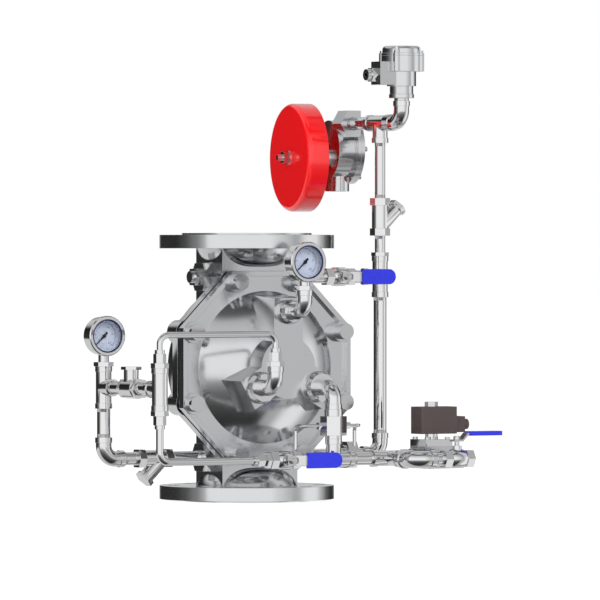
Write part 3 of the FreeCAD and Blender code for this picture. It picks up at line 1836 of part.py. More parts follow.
def right_line_pipes():
    """The pipes of the right riser, the lower line and the water motor's inlet."""
    foot, middle, top = right_line_centres()
    upper_mouth = side_port(1, side_port_height) + RIGHT * port_hex_height
    lower_mouth = side_port(1, -side_port_height) + RIGHT * port_hex_height
    valve_in = place(alarm_valve_start, 0, side_port_height)
    valve_out = valve_in + RIGHT * valve_length
    strainer_in = place(right_riser_x, 0, right_strainer_start)
    strainer_out = strainer_in + UP * strainer_length
    union_in = place(union_start, 0, -side_port_height)
    union_out = union_in + RIGHT * union_length
    motor_mouth = place(right_riser_x, motor_boss_front, top_tee_height)
    return [
        screwed_pipe(upper_mouth, valve_in),
        screwed_pipe(valve_out, middle + LEFT * tee_branch_reach),
        screwed_pipe(middle + DOWN * tee_reach, foot + UP * elbow_reach),
        riser_reducer(middle + UP * tee_reach),
        screwed_pipe(middle + UP * (tee_reach + 6), strainer_in, slim_pipe_d, slim_pipe_bore),
        screwed_pipe(strainer_out, top + DOWN * tee_branch_reach, slim_pipe_d, slim_pipe_bore),
        screwed_pipe(top + BACK * tee_reach, motor_mouth),
        close_nipple(top + FRONT * tee_reach, FRONT),
        screwed_pipe(lower_mouth, union_in),
        screwed_pipe(union_out, foot + LEFT * elbow_reach),
    ]


def riser_reducer(mouth):
    """The bushing in the tee that takes the slimmer riser pipe."""
    body = joined([spigot(mouth, DOWN), prism(mouth, UP, fitting_d, 6)])
    return body.cut(rod(mouth + UP * 6, DOWN, 2 * slim_thread_r, 6 + thread_grip))


def line_union():
    """The three piece union: two tails and the big nut over them."""
    start = place(union_start, 0, -side_port_height)
    joint = union_length / 2
    tails = []
    for side, mouth in ((1, start), (-1, start + RIGHT * union_length)):
        along = RIGHT * side
        tail = rod(mouth, along, union_collar_d, joint)
        tail = tail.cut(rod(mouth, along, pipe_bore, joint)).cut(socket(mouth, along))
        tails.append(tail)
    nut_start = start + RIGHT * ((union_length - union_nut_length) / 2)
    nut = prism(nut_start, RIGHT, union_nut_flats, union_nut_length)
    nut = nut.cut(rod(nut_start, RIGHT, union_collar_d + 2 * thread_clearance, union_nut_length))
    return tails + [nut]


def motor_housing():
    """The water motor's casing with its inlet boss, drain and front bearing."""
    axis = motor_axis()
    casing_length = motor_front - motor_rear - motor_flange_thickness
    casing_start = motor_casing_point(motor_rear + motor_flange_thickness)
    boss_start = place(right_riser_x, motor_boss_front, top_tee_height)
    drain_start = place(right_riser_x, motor_y, motor_drain_bottom)
    drain_height = motor_shaft_height - motor_drain_bottom
    outer = [
        rod(casing_start, axis, motor_casing_d, casing_length),
        rod(casing_start, axis, motor_flange_d, motor_flange_thickness),
        prism(boss_start, BACK, motor_boss_flats, motor_boss_length),
        rod(drain_start, UP, motor_drain_d, drain_height),
        rod(motor_point(motor_front), axis, rotor_hub_d + 14, 8),
    ]
    room_d = motor_casing_d - 2 * motor_casing_wall
    room_length = casing_length - motor_casing_wall
    housing = joined(outer)
    housing = housing.cut(rod(casing_start, axis * -1, 2 * motor_flange_d, motor_boss_flats))
    housing = housing.cut(rod(casing_start, axis, room_d, room_length))
    housing = housing.cut(socket(boss_start, BACK))
    housing = housing.cut(rod(boss_start, BACK, slim_pipe_bore, motor_boss_length + 12))
    housing = housing.cut(rod(drain_start, UP, motor_drain_bore, drain_height - impeller_d / 2 + 4))
    bearing_d = rotor_hub_d + 2 * running_clearance
    housing = housing.cut(rod(casing_start, axis, bearing_d, casing_length + 10))
    bearing_start = motor_point(motor_front - motor_casing_wall - 1)
    housing = housing.cut(rod(bearing_start, axis, bearing_d, motor_casing_wall + 20))
    for point in motor_screw_places(motor_rear + motor_flange_thickness):
        housing = housing.cut(rod(point, axis, screw_d + 2 * thread_clearance, motor_flange_thickness))
    return [housing]


def motor_cover():
    """The motor's back plate, which holds the fixed spindle."""
    axis = motor_axis()
    start = motor_casing_point(motor_rear)
    plate = rod(start, axis, motor_flange_d, motor_flange_thickness)
    dish = rod(start, axis * -1, motor_flange_d * 0.6, 4)
    boss_length = 4 + motor_flange_thickness
    cover = joined([plate, dish])
    spindle_hole = rod(motor_point(motor_rear - 4), axis, spindle_d + 2 * thread_clearance, boss_length)
    cover = cover.cut(spindle_hole)
    for point in motor_screw_places(motor_rear):
        cover = cover.cut(rod(point, axis, screw_d + 2 * thread_clearance, motor_flange_thickness))
    return [cover]


def motor_spindle():
    """The fixed spindle from the back plate to the gong, with a head behind the plate."""
    axis = motor_axis()
    rear = motor_rear - 4
    head = rod(motor_point(rear - 5), axis, spindle_d + 6, 5)
    shaft = rod(motor_point(rear), axis, spindle_d, spindle_tip - rear)
    collar = rod(motor_point(gong_front - gong_wall - 6), axis, spindle_d + 8, 6)
    return [joined([head, shaft, collar])]


def motor_rotor():
    """The impeller on its sleeve, and the striker arm fixed to the sleeve's end."""
    axis = motor_axis()
    room_start = motor_rear + motor_flange_thickness
    hub_start = room_start + 1.0
    hub_end = striker_position + striker_thickness
    bore_d = spindle_d + 2 * running_clearance
    hub = [rod(motor_point(hub_start), axis, rotor_hub_d, hub_end - hub_start - striker_thickness)]
    middle = hub_start + 3 + impeller_width / 2
    across = unit(axis.cross(UP))
    for number in range(impeller_blades):
        blade = block(
            Vector(impeller_d / 4, 0, 0),
            Vector(impeller_d / 2, impeller_blade_thickness, impeller_width),
        )
        blade.rotate(Vector(0, 0, 0), UP, number * 360.0 / impeller_blades)
        hub.append(turned_to(blade, motor_point(middle), across, axis))
    impeller = joined(hub)
    impeller = impeller.cut(rod(motor_point(hub_start), axis, bore_d, hub_end - hub_start))
    seat = motor_point(striker_position)
    reach = gong_d / 2 - gong_wall - striker_gap - striker_hammer_d / 2
    arm_middle = Vector(reach / 2, 0, striker_thickness / 2)
    arm = block(arm_middle, Vector(reach, striker_width, striker_thickness))
    hammer_start = Vector(reach, 0, 0)
    hammer = rod(hammer_start, UP, striker_hammer_d, striker_thickness * 2)
    collar = rod(Vector(0, 0, 0), UP, rotor_hub_d + 4, striker_thickness)
    bore = rod(Vector(0, 0, -1), UP, bore_d, striker_thickness + 2)
    striker = joined([arm, hammer, collar]).cut(bore)
    return [impeller, turned_to(striker, seat, DOWN, axis)]


def turned_to(shape, origin, local_x, local_z):
    """The shape moved so that its own X and Z axes take the given directions."""
    local_y = local_z.cross(local_x)
    matrix = FreeCAD.Matrix(
        local_x.x, local_y.x, local_z.x, origin.x,
        local_x.y, local_y.y, local_z.y, origin.y,
        local_x.z, local_y.z, local_z.z, origin.z,
        0, 0, 0, 1,
    )
    moved = shape.copy()
    moved.Placement = FreeCAD.Placement(matrix)
    return moved


def gong():
    """The gong: a deep pressed cup on the end of the spindle."""
    axis = motor_axis()
    outer_r = gong_d / 2
    inner_r = outer_r - gong_wall
    depth = gong_front - gong_back
    edge = gong_edge_radius
    curve = edge * (1 - math.sqrt(0.5))
    inner_edge = edge - gong_wall
    inner_curve = inner_edge * (1 - math.sqrt(0.5))
    hole_r = spindle_d / 2 + thread_clearance
    floor = depth - gong_wall
    outline = [
        (inner_r, 0),
        (outer_r, 0),
        (outer_r, depth - edge),
        (outer_r - curve, depth - curve, outer_r - edge, depth),
        (hole_r, depth),
        (hole_r, floor),
        (outer_r - edge, floor),
        (inner_r - inner_curve, floor - inner_curve, inner_r, depth - edge),
    ]
    return [turned(motor_point(gong_back), axis, outline)]


def gong_nut():
    """The nut and washer that hold the gong on its spindle."""
    axis = motor_axis()
    seat = motor_point(gong_front)
    hole_d = spindle_d + 2 * thread_clearance
    washer = rod(seat, axis, gong_nut_flats + 5, 2)
    nut = prism(seat + axis * 2, axis, gong_nut_flats, gong_nut_height)
    return [joined([washer, nut]).cut(rod(seat, axis, hole_d, gong_nut_height + 2))]


def export(name, solids):
    """Write one node's solids to its own file."""
    for number, solid in enumerate(solids):
        if not solid.isValid():
            raise ValueError(f"{name} solid {number} is not valid")
        if len(solid.Solids) != 1:
            raise ValueError(f"{name} solid {number} has {len(solid.Solids)} solids")
    loose = [solid.Solids[0] for solid in solids]
    shape = loose[0] if len(loose) == 1 else Part.makeCompound(loose)
    shape.exportStep(f"parts/{name}.step")
    volume = sum(solid.Volume for solid in loose)
    print(f"{name}: {len(loose)} solids, {volume / 1000:.1f} cm3")


def nodes():
    """Every node's name with the function that makes its solids."""
    made = {
        "valve_body": valve_body,
        "seat_ring": seat_ring,
        "valve_cover": valve_cover,
        "diaphragm": diaphragm,
        "diaphragm_plate": diaphragm_plate,
        "closing_spring": closing_spring,
        "cover_bolts": cover_bolts,
        "cover_nuts": cover_nuts,
        "port_fittings": lambda: port_bushings() + port_plug(),
        "cover_elbows": cover_elbows,
        "reducing_bushings": lambda: gauge_bushings() + tube_adapters(),
        "gauge_dials": gauge_dials,
        "gauge_glasses": gauge_glasses,
        "left_line_fittings": left_line_fittings,
        "left_line_pipes": left_line_pipes,
        "strainer_bodies": strainer_bodies,
        "line_caps": lambda: strainer_caps() + check_valve_cap(),
        "check_valve_body": check_valve_body,
        "check_valve_clapper": check_valve_clapper,
        "compression_tubes": lambda: compression_tubes() + relief_tubes(),
        "compression_nuts": compression_nuts,
        "relief_body": relief_body,
        "relief_piston": relief_piston,
        "front_line_fittings": front_line_fittings,
        "front_line_pipes": front_line_pipes,
        "solenoid_body": solenoid_body,
        "solenoid_bonnet": solenoid_bonnet,
        "solenoid_plunger": solenoid_plunger,
        "solenoid_coil": solenoid_coil,
        "solenoid_connector": solenoid_connector,
        "housing_screws": lambda: housing_screws() + switch_screws(),
        "pressure_switch_base": pressure_switch_base,
        "pressure_switch_cap": pressure_switch_cap,
        "pressure_switch_plunger": pressure_switch_plunger,
        "switch_gland": switch_gland,
        "right_line_fittings": lambda: right_line_fittings() + top_elbow(),
        "right_line_pipes": right_line_pipes,
        "line_union": line_union,
        "motor_housing": motor_housing,
        "motor_cover": motor_cover,
        "motor_spindle": motor_spindle,
        "motor_rotor": motor_rotor,
        "gong": gong,
        "spindle_nuts": lambda: coil_nut() + gong_nut(),
    }
    for index, name in enumerate(("supply_gauge", "control_gauge")):
        made[f"{name}_case"] = lambda index=index: gauge_case(index)
        made[f"{name}_pointer"] = lambda index=index: gauge_pointer(index)
    for name in ball_valve_places():
        made[f"{name}_body"] = lambda name=name: ball_valve_body(name)
        made[f"{name}_stem"] = lambda name=name: ball_valve_stem(name)
        made[f"{name}_lever"] = lambda name=name: ball_valve_lever(name)
        made[f"{name}_grip"] = lambda name=name: ball_valve_grip(name)
    return made


def main():
    """Build and export every node."""
    os.makedirs("parts", exist_ok=True)
    for name, make in nodes().items():
        export(name, make())


main()
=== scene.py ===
"""Looks of the sprinkler alarm valve: finishes, small trim, floor, light and camera. Metres."""
import json
import math

import bpy
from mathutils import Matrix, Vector


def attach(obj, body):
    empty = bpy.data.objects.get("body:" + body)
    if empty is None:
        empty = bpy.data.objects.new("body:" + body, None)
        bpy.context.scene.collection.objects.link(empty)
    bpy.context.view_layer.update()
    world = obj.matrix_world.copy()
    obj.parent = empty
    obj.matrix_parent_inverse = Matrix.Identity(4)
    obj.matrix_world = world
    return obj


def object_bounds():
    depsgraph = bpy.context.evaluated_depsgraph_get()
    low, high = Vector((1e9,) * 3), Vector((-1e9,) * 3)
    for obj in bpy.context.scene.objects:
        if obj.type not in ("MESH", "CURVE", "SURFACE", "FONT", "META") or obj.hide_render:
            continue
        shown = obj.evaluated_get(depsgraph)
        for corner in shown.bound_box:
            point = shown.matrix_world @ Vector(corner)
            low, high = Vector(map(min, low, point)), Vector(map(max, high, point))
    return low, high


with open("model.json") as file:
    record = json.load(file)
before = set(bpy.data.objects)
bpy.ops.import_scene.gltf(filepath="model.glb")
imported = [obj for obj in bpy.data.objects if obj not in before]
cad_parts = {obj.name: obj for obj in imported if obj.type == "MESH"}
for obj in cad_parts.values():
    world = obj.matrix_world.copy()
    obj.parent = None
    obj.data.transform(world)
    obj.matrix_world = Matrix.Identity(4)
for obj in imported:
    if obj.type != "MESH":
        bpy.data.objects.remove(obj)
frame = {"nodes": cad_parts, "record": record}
cad_low, cad_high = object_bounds()
nodes = frame["nodes"]
scene = bpy.context.scene

# Camera, as the photograph was taken
VIEW_AZIMUTH = math.radians(-30)
CAMERA_DISTANCE = 10.5
FRAME_WIDTH = 0.9786
CAMERA_HEIGHT = 0.410
TARGET_HEIGHT = 0.3268
SIDEWAYS = 0.0868
SENSOR_WIDTH = 36.0
NEAR_CLIP, FAR_CLIP = 0.1, 200

# Floor: half its side, its glow and shade to the camera, and its grey to other light
FLOOR_HALF = 30.0
FLOOR_GLOW = 0.88
FLOOR_SHADE = 0.35
FLOOR_PAPER = 0.9

# Panels of the room that metal mirrors: how bright each is by degrees to the right of the
# line to the camera, then by degrees upwards
FRONT_PANEL = (
    [
        (-180, 0.6), (-168, 0.4), (-158, 0.0), (-110, 0.015), (-90, 0.075), (-70, 0.24),
        (-57, 0.5), (-52, 1.0), (30, 1.0), (45, 0.82), (60, 0.64), (76, 0.0), (158, 0.0),
        (168, 0.4), (180, 0.6),
    ],
    [
        (-90, 0.03), (-55, 0.04), (-42, 0.07), (-29, 0.13), (-17, 0.3), (-8, 0.95), (-3, 1.0),
        (20, 1.0), (30, 0.66), (45, 0.6), (53, 0.1), (60, 0.08), (70, 0.6), (90, 0.6),
    ],
)
RIGHT_PANEL = (
    [
        (-180, 0.0), (52, 0.0), (62, 0.5), (70, 0.48), (88, 1.0), (104, 1.0), (118, 0.5),
        (130, 0.13), (145, 0.02), (180, 0.0),
    ],
    [(-90, 0.3), (-62, 0.5), (-48, 1.0), (10, 1.0), (22, 0.7), (57, 0.62), (66, 0.3), (90, 0.6)],
)
BACK_PANEL = (
    [(-180, 0.85), (-78, 0.8), (-58, 0.05), (-50, 0.0), (122, 0.0), (140, 0.8), (180, 0.85)],
    [
        (-90, 0.4), (-60, 0.7), (-12, 0.85), (-5, 0.04), (18, 0.02), (30, 0.8), (60, 0.7),
        (90, 0.6),
    ],
)
ROOM_GLOW = 0.015

# Soft lamps: metres from the part's middle towards the camera, to the right and up, then
# side and watts
LAMPS = {
    "key": ((2.2, 1.2, 2.0), 1.6, 45),
    "fill": ((2.4, -1.6, 0.8), 2.0, 20),
    "side": ((0.8, -2.6, 0.4), 1.8, 34),
}

# Surfaces: noises as (scale, detail), and the middle span of each noise's values
METAL_CLOUD, METAL_DETAIL, METAL_RELIEF = (22.0, 4.0), 3.0, 0.2
PAINT_CLOUD, PAINT_PEEL = (9.0, 3.0), (260.0, 2.0)
PAINT_DEPTH, PAINT_RELIEF, COAT_ROUGHNESS = 0.00002, 0.4, 0.04
PLASTIC_CLOUD, PLASTIC_GRAIN = (40.0, 3.0), (1500.0, 4.0)
PLASTIC_DEPTH, PLASTIC_RELIEF, PLASTIC_EDGE = 0.00004, 0.6, 0.0004
NOISE_SPAN, NOISE_PRODUCT_SPAN = (0.3, 0.7), (0.1, 0.45)
GLASS_BENDING, GLASS_TINT, CLEAR_SHARE = 1.1, (0.97, 0.98, 1, 1), 0.85
BEVEL_SAMPLES = 4
SMOOTH_ANGLE = math.radians(28)
WELD_DISTANCE = 0.000002

# Gauges: metres from each dial's axis, and in front of its axis point
DIAL_FRONT = -0.0005
DIAL_INK_HEIGHT = 0.00015
SCALE_START, SCALE_SWEEP = 225.0, 270.0
SCALE_MARKS, MIDDLE_EVERY, LONG_EVERY = 50, 5, 10
MARK_OUTER = 0.0222
SHORT_MARK_INNER, MIDDLE_MARK_INNER, LONG_MARK_INNER = 0.0208, 0.0200, 0.0186
SHORT_MARK_WIDTH, LONG_MARK_WIDTH = 0.00028, 0.0005
ARC_PIECES, ARC_MIDDLE, ARC_OUTER = 90, 0.0224, 0.02245
NUMBERS = ("0", "0.5", "1", "1.5", "2", "2.5")
NUMBER_RADIUS, NUMBER_SIZE, NUMBER_RESOLUTION = 0.0155, 0.0042, 3
WINDOW_RING = [
    (0.0248, 0.0116), (0.0269, 0.0116), (0.0269, 0.0138), (0.0262, 0.0142), (0.0248, 0.0136),
]
POINTER_HUB = [
    (0.0001, 0.0024), (0.0031, 0.0024), (0.0031, 0.0034), (0.0022, 0.0041), (0.0001, 0.0043),
]
RING_STEPS, HUB_STEPS, THREAD_STEPS = 64, 32, 40

# Pipe ends that show their last thread turns: mouth, the way the pipe leaves it, and radius
PIPE_R, SLIM_R = 0.01065, 0.0086
THREAD_PITCH, THREAD_DEPTH, THREAD_TURNS = 0.0018, 0.0004, 3
THREADED_ENDS = {
    "left_line_threads": [
        ((-0.09, 0, 0.0715), (-1, 0, 0), PIPE_R), ((-0.143, 0, 0.0715), (1, 0, 0), PIPE_R),
        ((-0.205, 0, 0.0715), (-1, 0, 0), PIPE_R), ((-0.23, 0, 0.0715), (1, 0, 0), PIPE_R),
        ((-0.265, 0, 0.1065), (0, 0, 1), PIPE_R), ((-0.265, 0, 0.153), (0, 0, -1), PIPE_R),
        ((-0.265, -0.033, 0.187), (0, -1, 0), PIPE_R),
        ((-0.265, -0.072, 0.187), (0, 1, 0), PIPE_R),
        ((-0.265, -0.125, 0.187), (0, -1, 0), PIPE_R),
        ((-0.265, -0.155, 0.187), (0, 1, 0), PIPE_R),
    ],
    "front_line_threads": [
        ((-0.012, -0.188, 0.0715), (1, 0, 0), PIPE_R),
        ((0.02, -0.188, 0.0715), (-1, 0, 0), PIPE_R),
        ((0.088, -0.188, 0.0715), (1, 0, 0), PIPE_R),
        ((0.125, -0.188, 0.0715), (-1, 0, 0), PIPE_R),
        ((0.194, -0.266, 0.0715), (1, 0, 0), PIPE_R),
        ((0.212, -0.266, 0.0715), (-1, 0, 0), PIPE_R),
    ],
    "right_line_threads": [
        ((0.09, 0, 0.3645), (1, 0, 0), PIPE_R), ((0.146, 0, 0.3645), (-1, 0, 0), PIPE_R),
        ((0.2, 0, 0.3645), (1, 0, 0), PIPE_R), ((0.2197, 0, 0.3645), (-1, 0, 0), PIPE_R),
        ((0.2527, 0, 0.3305), (0, 0, -1), PIPE_R), ((0.2527, 0, 0.1065), (0, 0, 1), PIPE_R),
        ((0.2527, 0, 0.432), (0, 0, -1), SLIM_R), ((0.2527, 0, 0.494), (0, 0, 1), SLIM_R),
        ((0.2527, 0, 0.585), (0, 0, -1), SLIM_R), ((0.2527, 0.034, 0.618), (0, 1, 0), PIPE_R),
        ((0.2527, 0.085, 0.618), (0, -1, 0), PIPE_R), ((0.09, 0, 0.0715), (1, 0, 0), PIPE_R),
        ((0.179, 0, 0.0715), (-1, 0, 0), PIPE_R),
    ],
}

UP = Vector((0, 0, 1))
toward_camera = Vector((math.sin(VIEW_AZIMUTH), -math.cos(VIEW_AZIMUTH), 0))
to_the_right = Vector((math.cos(VIEW_AZIMUTH), math.sin(VIEW_AZIMUTH), 0))


def aim(thing, target):
    """Turn a camera or lamp towards a point."""
    thing.rotation_mode = "QUATERNION"
    thing.rotation_quaternion = (target - thing.location).to_track_quat("-Z", "Y")


def make_camera():
    """A long lens, turned down a little, that frames the part as the photograph does."""
    data = bpy.data.cameras.new("camera")
    data.sensor_width = SENSOR_WIDTH
    data.lens = data.sensor_width * CAMERA_DISTANCE / FRAME_WIDTH
    data.clip_start, data.clip_end = NEAR_CLIP, FAR_CLIP
    camera = bpy.data.objects.new("camera", data)
    scene.collection.objects.link(camera)
    target = to_the_right * SIDEWAYS + UP * TARGET_HEIGHT
    camera.location = toward_camera * CAMERA_DISTANCE + to_the_right * SIDEWAYS
    camera.location.z = CAMERA_HEIGHT
    aim(camera, target)
    scene.camera = camera


def grey(level):
    """A grey colour with full alpha."""
    return (level, level, level, 1)


class Shader:
    """Builds a node tree with one short call a node."""

    def __init__(self, owner):
        owner.use_nodes = True
        self.tree = owner.node_tree
        self.tree.nodes.clear()

    def add(self, kind, inputs=None, **settings):
        """Add a node; an input is a value or another node's output socket."""
        node = self.tree.nodes.new(kind)
        for name, value in settings.items():
            setattr(node, name, value)
        for name, value in (inputs or {}).items():
            if isinstance(value, bpy.types.NodeSocket):
                self.tree.links.new(value, node.inputs[name])
            else:
                node.inputs[name].default_value = value
        return node

    def math(self, operation, *values):
        """A Math node's output."""
        node = self.add("ShaderNodeMath", dict(enumerate(values)), operation=operation)
        return node.outputs[0]

    def mixed(self, share, first, second):
        """A share of the second shader mixed into the first."""
        inputs = {0: share, 1: first.outputs[0], 2: second.outputs[0]}
        return self.add("ShaderNodeMixShader", inputs)

    def show(self, surface):
        """Make a shader the material's surface."""
        self.add("ShaderNodeOutputMaterial", {"Surface": surface.outputs[0]})

    def principled(self, colour, gloss, normal, more=None):
        """The usual surface, from a colour, a roughness, a normal and other inputs."""
        inputs = {"Base Color": (*colour, 1), "Roughness": gloss, "Normal": normal}
        self.show(self.add("ShaderNodeBsdfPrincipled", {**inputs, **(more or {})}))

    def spread(self, value, low, high, start=0.0, end=1.0):
        """A value taken from the span start to end and spread over low to high."""
        inputs = {"Value": value, "From Min": start, "From Max": end}
        inputs.update({"To Min": low, "To Max": high})
        return self.add("ShaderNodeMapRange", inputs).outputs[0]

    def ramp(self, value, stops):
        """A smooth grey ramp through (place, level) stops."""
        node = self.add("ShaderNodeValToRGB", {"Fac": value})
        ramp = node.color_ramp
        ramp.interpolation = "EASE"
        while len(ramp.elements) < len(stops):
            ramp.elements.new(0.5)
        for element, (place, level) in zip(ramp.elements, stops):
            element.position = place
            element.color = grey(level)
        return node.outputs["Color"]


def make_world():
    """A white room to the camera; lamps, metal and glass meet large soft panels with dark gaps."""
    world = bpy.data.worlds.new("studio")
    scene.world = world
    shader = Shader(world)
    direction = shader.add("ShaderNodeTexCoord").outputs["Generated"]

    def part_along(vector):
        inputs = {0: direction, 1: vector}
        return shader.add("ShaderNodeVectorMath", inputs, operation="DOT_PRODUCT").outputs["Value"]

    turn = shader.math("ARCTAN2", part_along(to_the_right), part_along(toward_camera))
    round_share = shader.spread(turn, 0, 1, -math.pi, math.pi)
    rise = shader.math("ARCSINE", part_along(UP))
    rise_share = shader.spread(rise, 0, 1, -math.pi / 2, math.pi / 2)
    strength = ROOM_GLOW
    for around, heights in (FRONT_PANEL, RIGHT_PANEL, BACK_PANEL):
        across = shader.ramp(round_share, [((a + 180) / 360, level) for a, level in around])
        upwards = shader.ramp(rise_share, [((a + 90) / 180, level) for a, level in heights])
        panel = shader.math("MULTIPLY", across, upwards)
        strength = shader.math("MAXIMUM", panel, strength)
    seen = shader.add("ShaderNodeLightPath").outputs["Is Camera Ray"]
    level = shader.add("ShaderNodeMix", {"Factor": seen, "A": strength, "B": 1.0})
    white = {"Color": grey(1), "Strength": level.outputs["Result"]}
    background = shader.add("ShaderNodeBackground", white)
    shader.add("ShaderNodeOutputWorld", {"Surface": background.outputs[0]})


def make_floor():
    """A pale floor that keeps the part's shadow and lets metal mirror the room below."""
    mesh = bpy.data.meshes.new("floor")
    corners = ((-1, -1), (1, -1), (1, 1), (-1, 1))
    points = [(x * FLOOR_HALF, y * FLOOR_HALF, 0.0) for x, y in corners]
    mesh.from_pydata(points, [], [(0, 1, 2, 3)])
    floor = bpy.data.objects.new("floor", mesh)
    scene.collection.objects.link(floor)
    material = bpy.data.materials.new("floor")
    shader = Shader(material)
    ray = shader.add("ShaderNodeLightPath").outputs
    paper = shader.add("ShaderNodeBsdfDiffuse", {"Color": grey(FLOOR_PAPER)})
    white = shader.add("ShaderNodeEmission", {"Color": grey(1), "Strength": FLOOR_GLOW})
    shade = shader.add("ShaderNodeBsdfDiffuse", {"Color": grey(FLOOR_SHADE)})
    in_metal = shader.add("ShaderNodeBsdfTransparent", {"Color": grey(1)})
    to_camera = shader.add("ShaderNodeAddShader", {0: shade.outputs[0], 1: white.outputs[0]})
    unseen = shader.mixed(ray["Is Glossy Ray"], paper, in_metal)
    shader.show(shader.mixed(ray["Is Camera Ray"], unseen, to_camera))
    mesh.materials.append(material)


def make_lamps():
    """Square soft lamps that metal doesn't mirror, for what isn't metal."""
    middle = (cad_low + cad_high) / 2
    for name, ((forwards, right, up), size, watts) in LAMPS.items():
        data = bpy.data.lights.new(name, "AREA")
        data.size = size
        data.energy = watts
        lamp = bpy.data.objects.new(name, data)
        scene.collection.objects.link(lamp)
        lamp.location = middle + toward_camera * forwards + to_the_right * right + UP * up
        lamp.visible_glossy = False
        aim(lamp, middle)


def noise(shader, scale, detail):
    """Noise that keeps its place on the part."""
    point = shader.add("ShaderNodeTexCoord").outputs["Object"]
    inputs = {"Vector": point, "Scale": scale, "Detail": detail}
    return shader.add("ShaderNodeTexNoise", inputs).outputs["Fac"]


def relief(shader, height, distance, strength, edge):
    """A normal with a fine relief, and sharp edges rounded by a radius in metres."""
    rounded = shader.add("ShaderNodeBevel", {"Radius": edge}, samples=BEVEL_SAMPLES)
    inputs = {"Height": height, "Distance": distance, "Strength": strength}
    inputs["Normal"] = rounded.outputs["Normal"]
    return shader.add("ShaderNodeBump", inputs).outputs["Normal"]


def metal(name, colour, roughness, spread=0.04, grain=900.0, depth=0.00002, edge=0.0004):
    """Polished or cast metal: a faint grain, uneven gloss and rounded edges."""
    material = bpy.data.materials.new(name)
    shader = Shader(material)
    fine = noise(shader, grain, METAL_DETAIL)
    both = shader.math("MULTIPLY", noise(shader, *METAL_CLOUD), fine)
    gloss = shader.spread(both, roughness - spread / 2, roughness + spread, *NOISE_PRODUCT_SPAN)
    normal = relief(shader, fine, depth, METAL_RELIEF, edge)
    shader.principled(colour, gloss, normal, {"Metallic": 1.0})
    return material


def paint(name, colour, roughness, coat, edge):
    """Sprayed gloss paint: a clear coat with a slight orange peel."""
    material = bpy.data.materials.new(name)
    shader = Shader(material)
    cloud, peel = noise(shader, *PAINT_CLOUD), noise(shader, *PAINT_PEEL)
    gloss = shader.spread(cloud, roughness - 0.03, roughness + 0.05, *NOISE_SPAN)
    normal = relief(shader, peel, PAINT_DEPTH, PAINT_RELIEF, edge)
    coating = {"Coat Weight": coat, "Coat Roughness": COAT_ROUGHNESS}
    shader.principled(colour, gloss, normal, coating)
    return material


def plastic(name, colour, roughness):
    """Moulded plastic or rubber with a fine eroded texture."""
    material = bpy.data.materials.new(name)
    shader = Shader(material)
    cloud, grain = noise(shader, *PLASTIC_CLOUD), noise(shader, *PLASTIC_GRAIN)
    gloss = shader.spread(cloud, roughness - 0.05, roughness + 0.08, *NOISE_SPAN)
    normal = relief(shader, grain, PLASTIC_DEPTH, PLASTIC_RELIEF, PLASTIC_EDGE)
    shader.principled(colour, gloss, normal)
    return material


def window(name):
    """A thin clear window."""
    material = bpy.data.materials.new(name)
    shader = Shader(material)
    pane = {"Color": grey(1), "Roughness": 0.0, "IOR": GLASS_BENDING}
    glass = shader.add("ShaderNodeBsdfGlass", pane)
    clear = shader.add("ShaderNodeBsdfTransparent", {"Color": GLASS_TINT})
    shader.show(shader.mixed(CLEAR_SHARE, glass, clear))
    return material


def make_finishes():
    """One finish for each material slot of the record, and two more for the dials."""
    steel, chrome = (0.72, 0.73, 0.74), (0.80, 0.80, 0.81)
    return {
        "polished_steel": metal(
            "cast_steel", steel, 0.16, spread=0.06, grain=700.0, depth=0.00004, edge=0.0008
        ),
        "chrome_fittings": metal("chrome", chrome, 0.05, spread=0.03, depth=0.000005),
        "fasteners": metal("bright_steel", (0.72, 0.72, 0.73), 0.14),
        "gong_red": paint("red_gloss", (0.88, 0.003, 0.006), 0.16, coat=1.0, edge=0.001),
        "grip_blue": plastic("blue_vinyl", (0.02, 0.03, 0.70), 0.3),
        "coil_black": plastic("coil_moulding", (0.085, 0.062, 0.06), 0.5),
        "rubber": plastic("black_rubber", (0.015, 0.015, 0.015), 0.6),
        "dial": paint("dial_white", (0.66, 0.71, 0.82), 0.4, coat=0.2, edge=0.0002),
        "glass": window("clear_window"),
        "pointer": paint("pointer_black", (0.01, 0.01, 0.01), 0.4, coat=0.0, edge=0.0001),
        "dial_ink": paint("dial_ink", (0.02, 0.025, 0.09), 0.5, coat=0.0, edge=0.0001),
        "dial_ring": plastic("dial_ring", (0.012, 0.018, 0.09), 0.4),
        "bronze": metal("bronze", (0.62, 0.42, 0.2), 0.25),
        "spring_steel": metal("spring_steel", (0.5, 0.5, 0.52), 0.2),
    }


def dress_nodes(finishes):
    """Give each solid its finish, with smooth faces between its sharp edges."""
    for entry in frame["record"]["subparts"]:
        piece = nodes[entry["node"]]
        piece.data.materials.clear()
        piece.data.materials.append(finishes[entry["material_slot"]])
        smooth(piece)


def smooth(piece):
    """Shade smooth across flat edges, after welding seams."""
    weld = piece.modifiers.new("weld", "WELD")
    weld.merge_threshold = WELD_DISTANCE
    piece.modifiers.new("edges", "NODES").node_group = smooth_group()


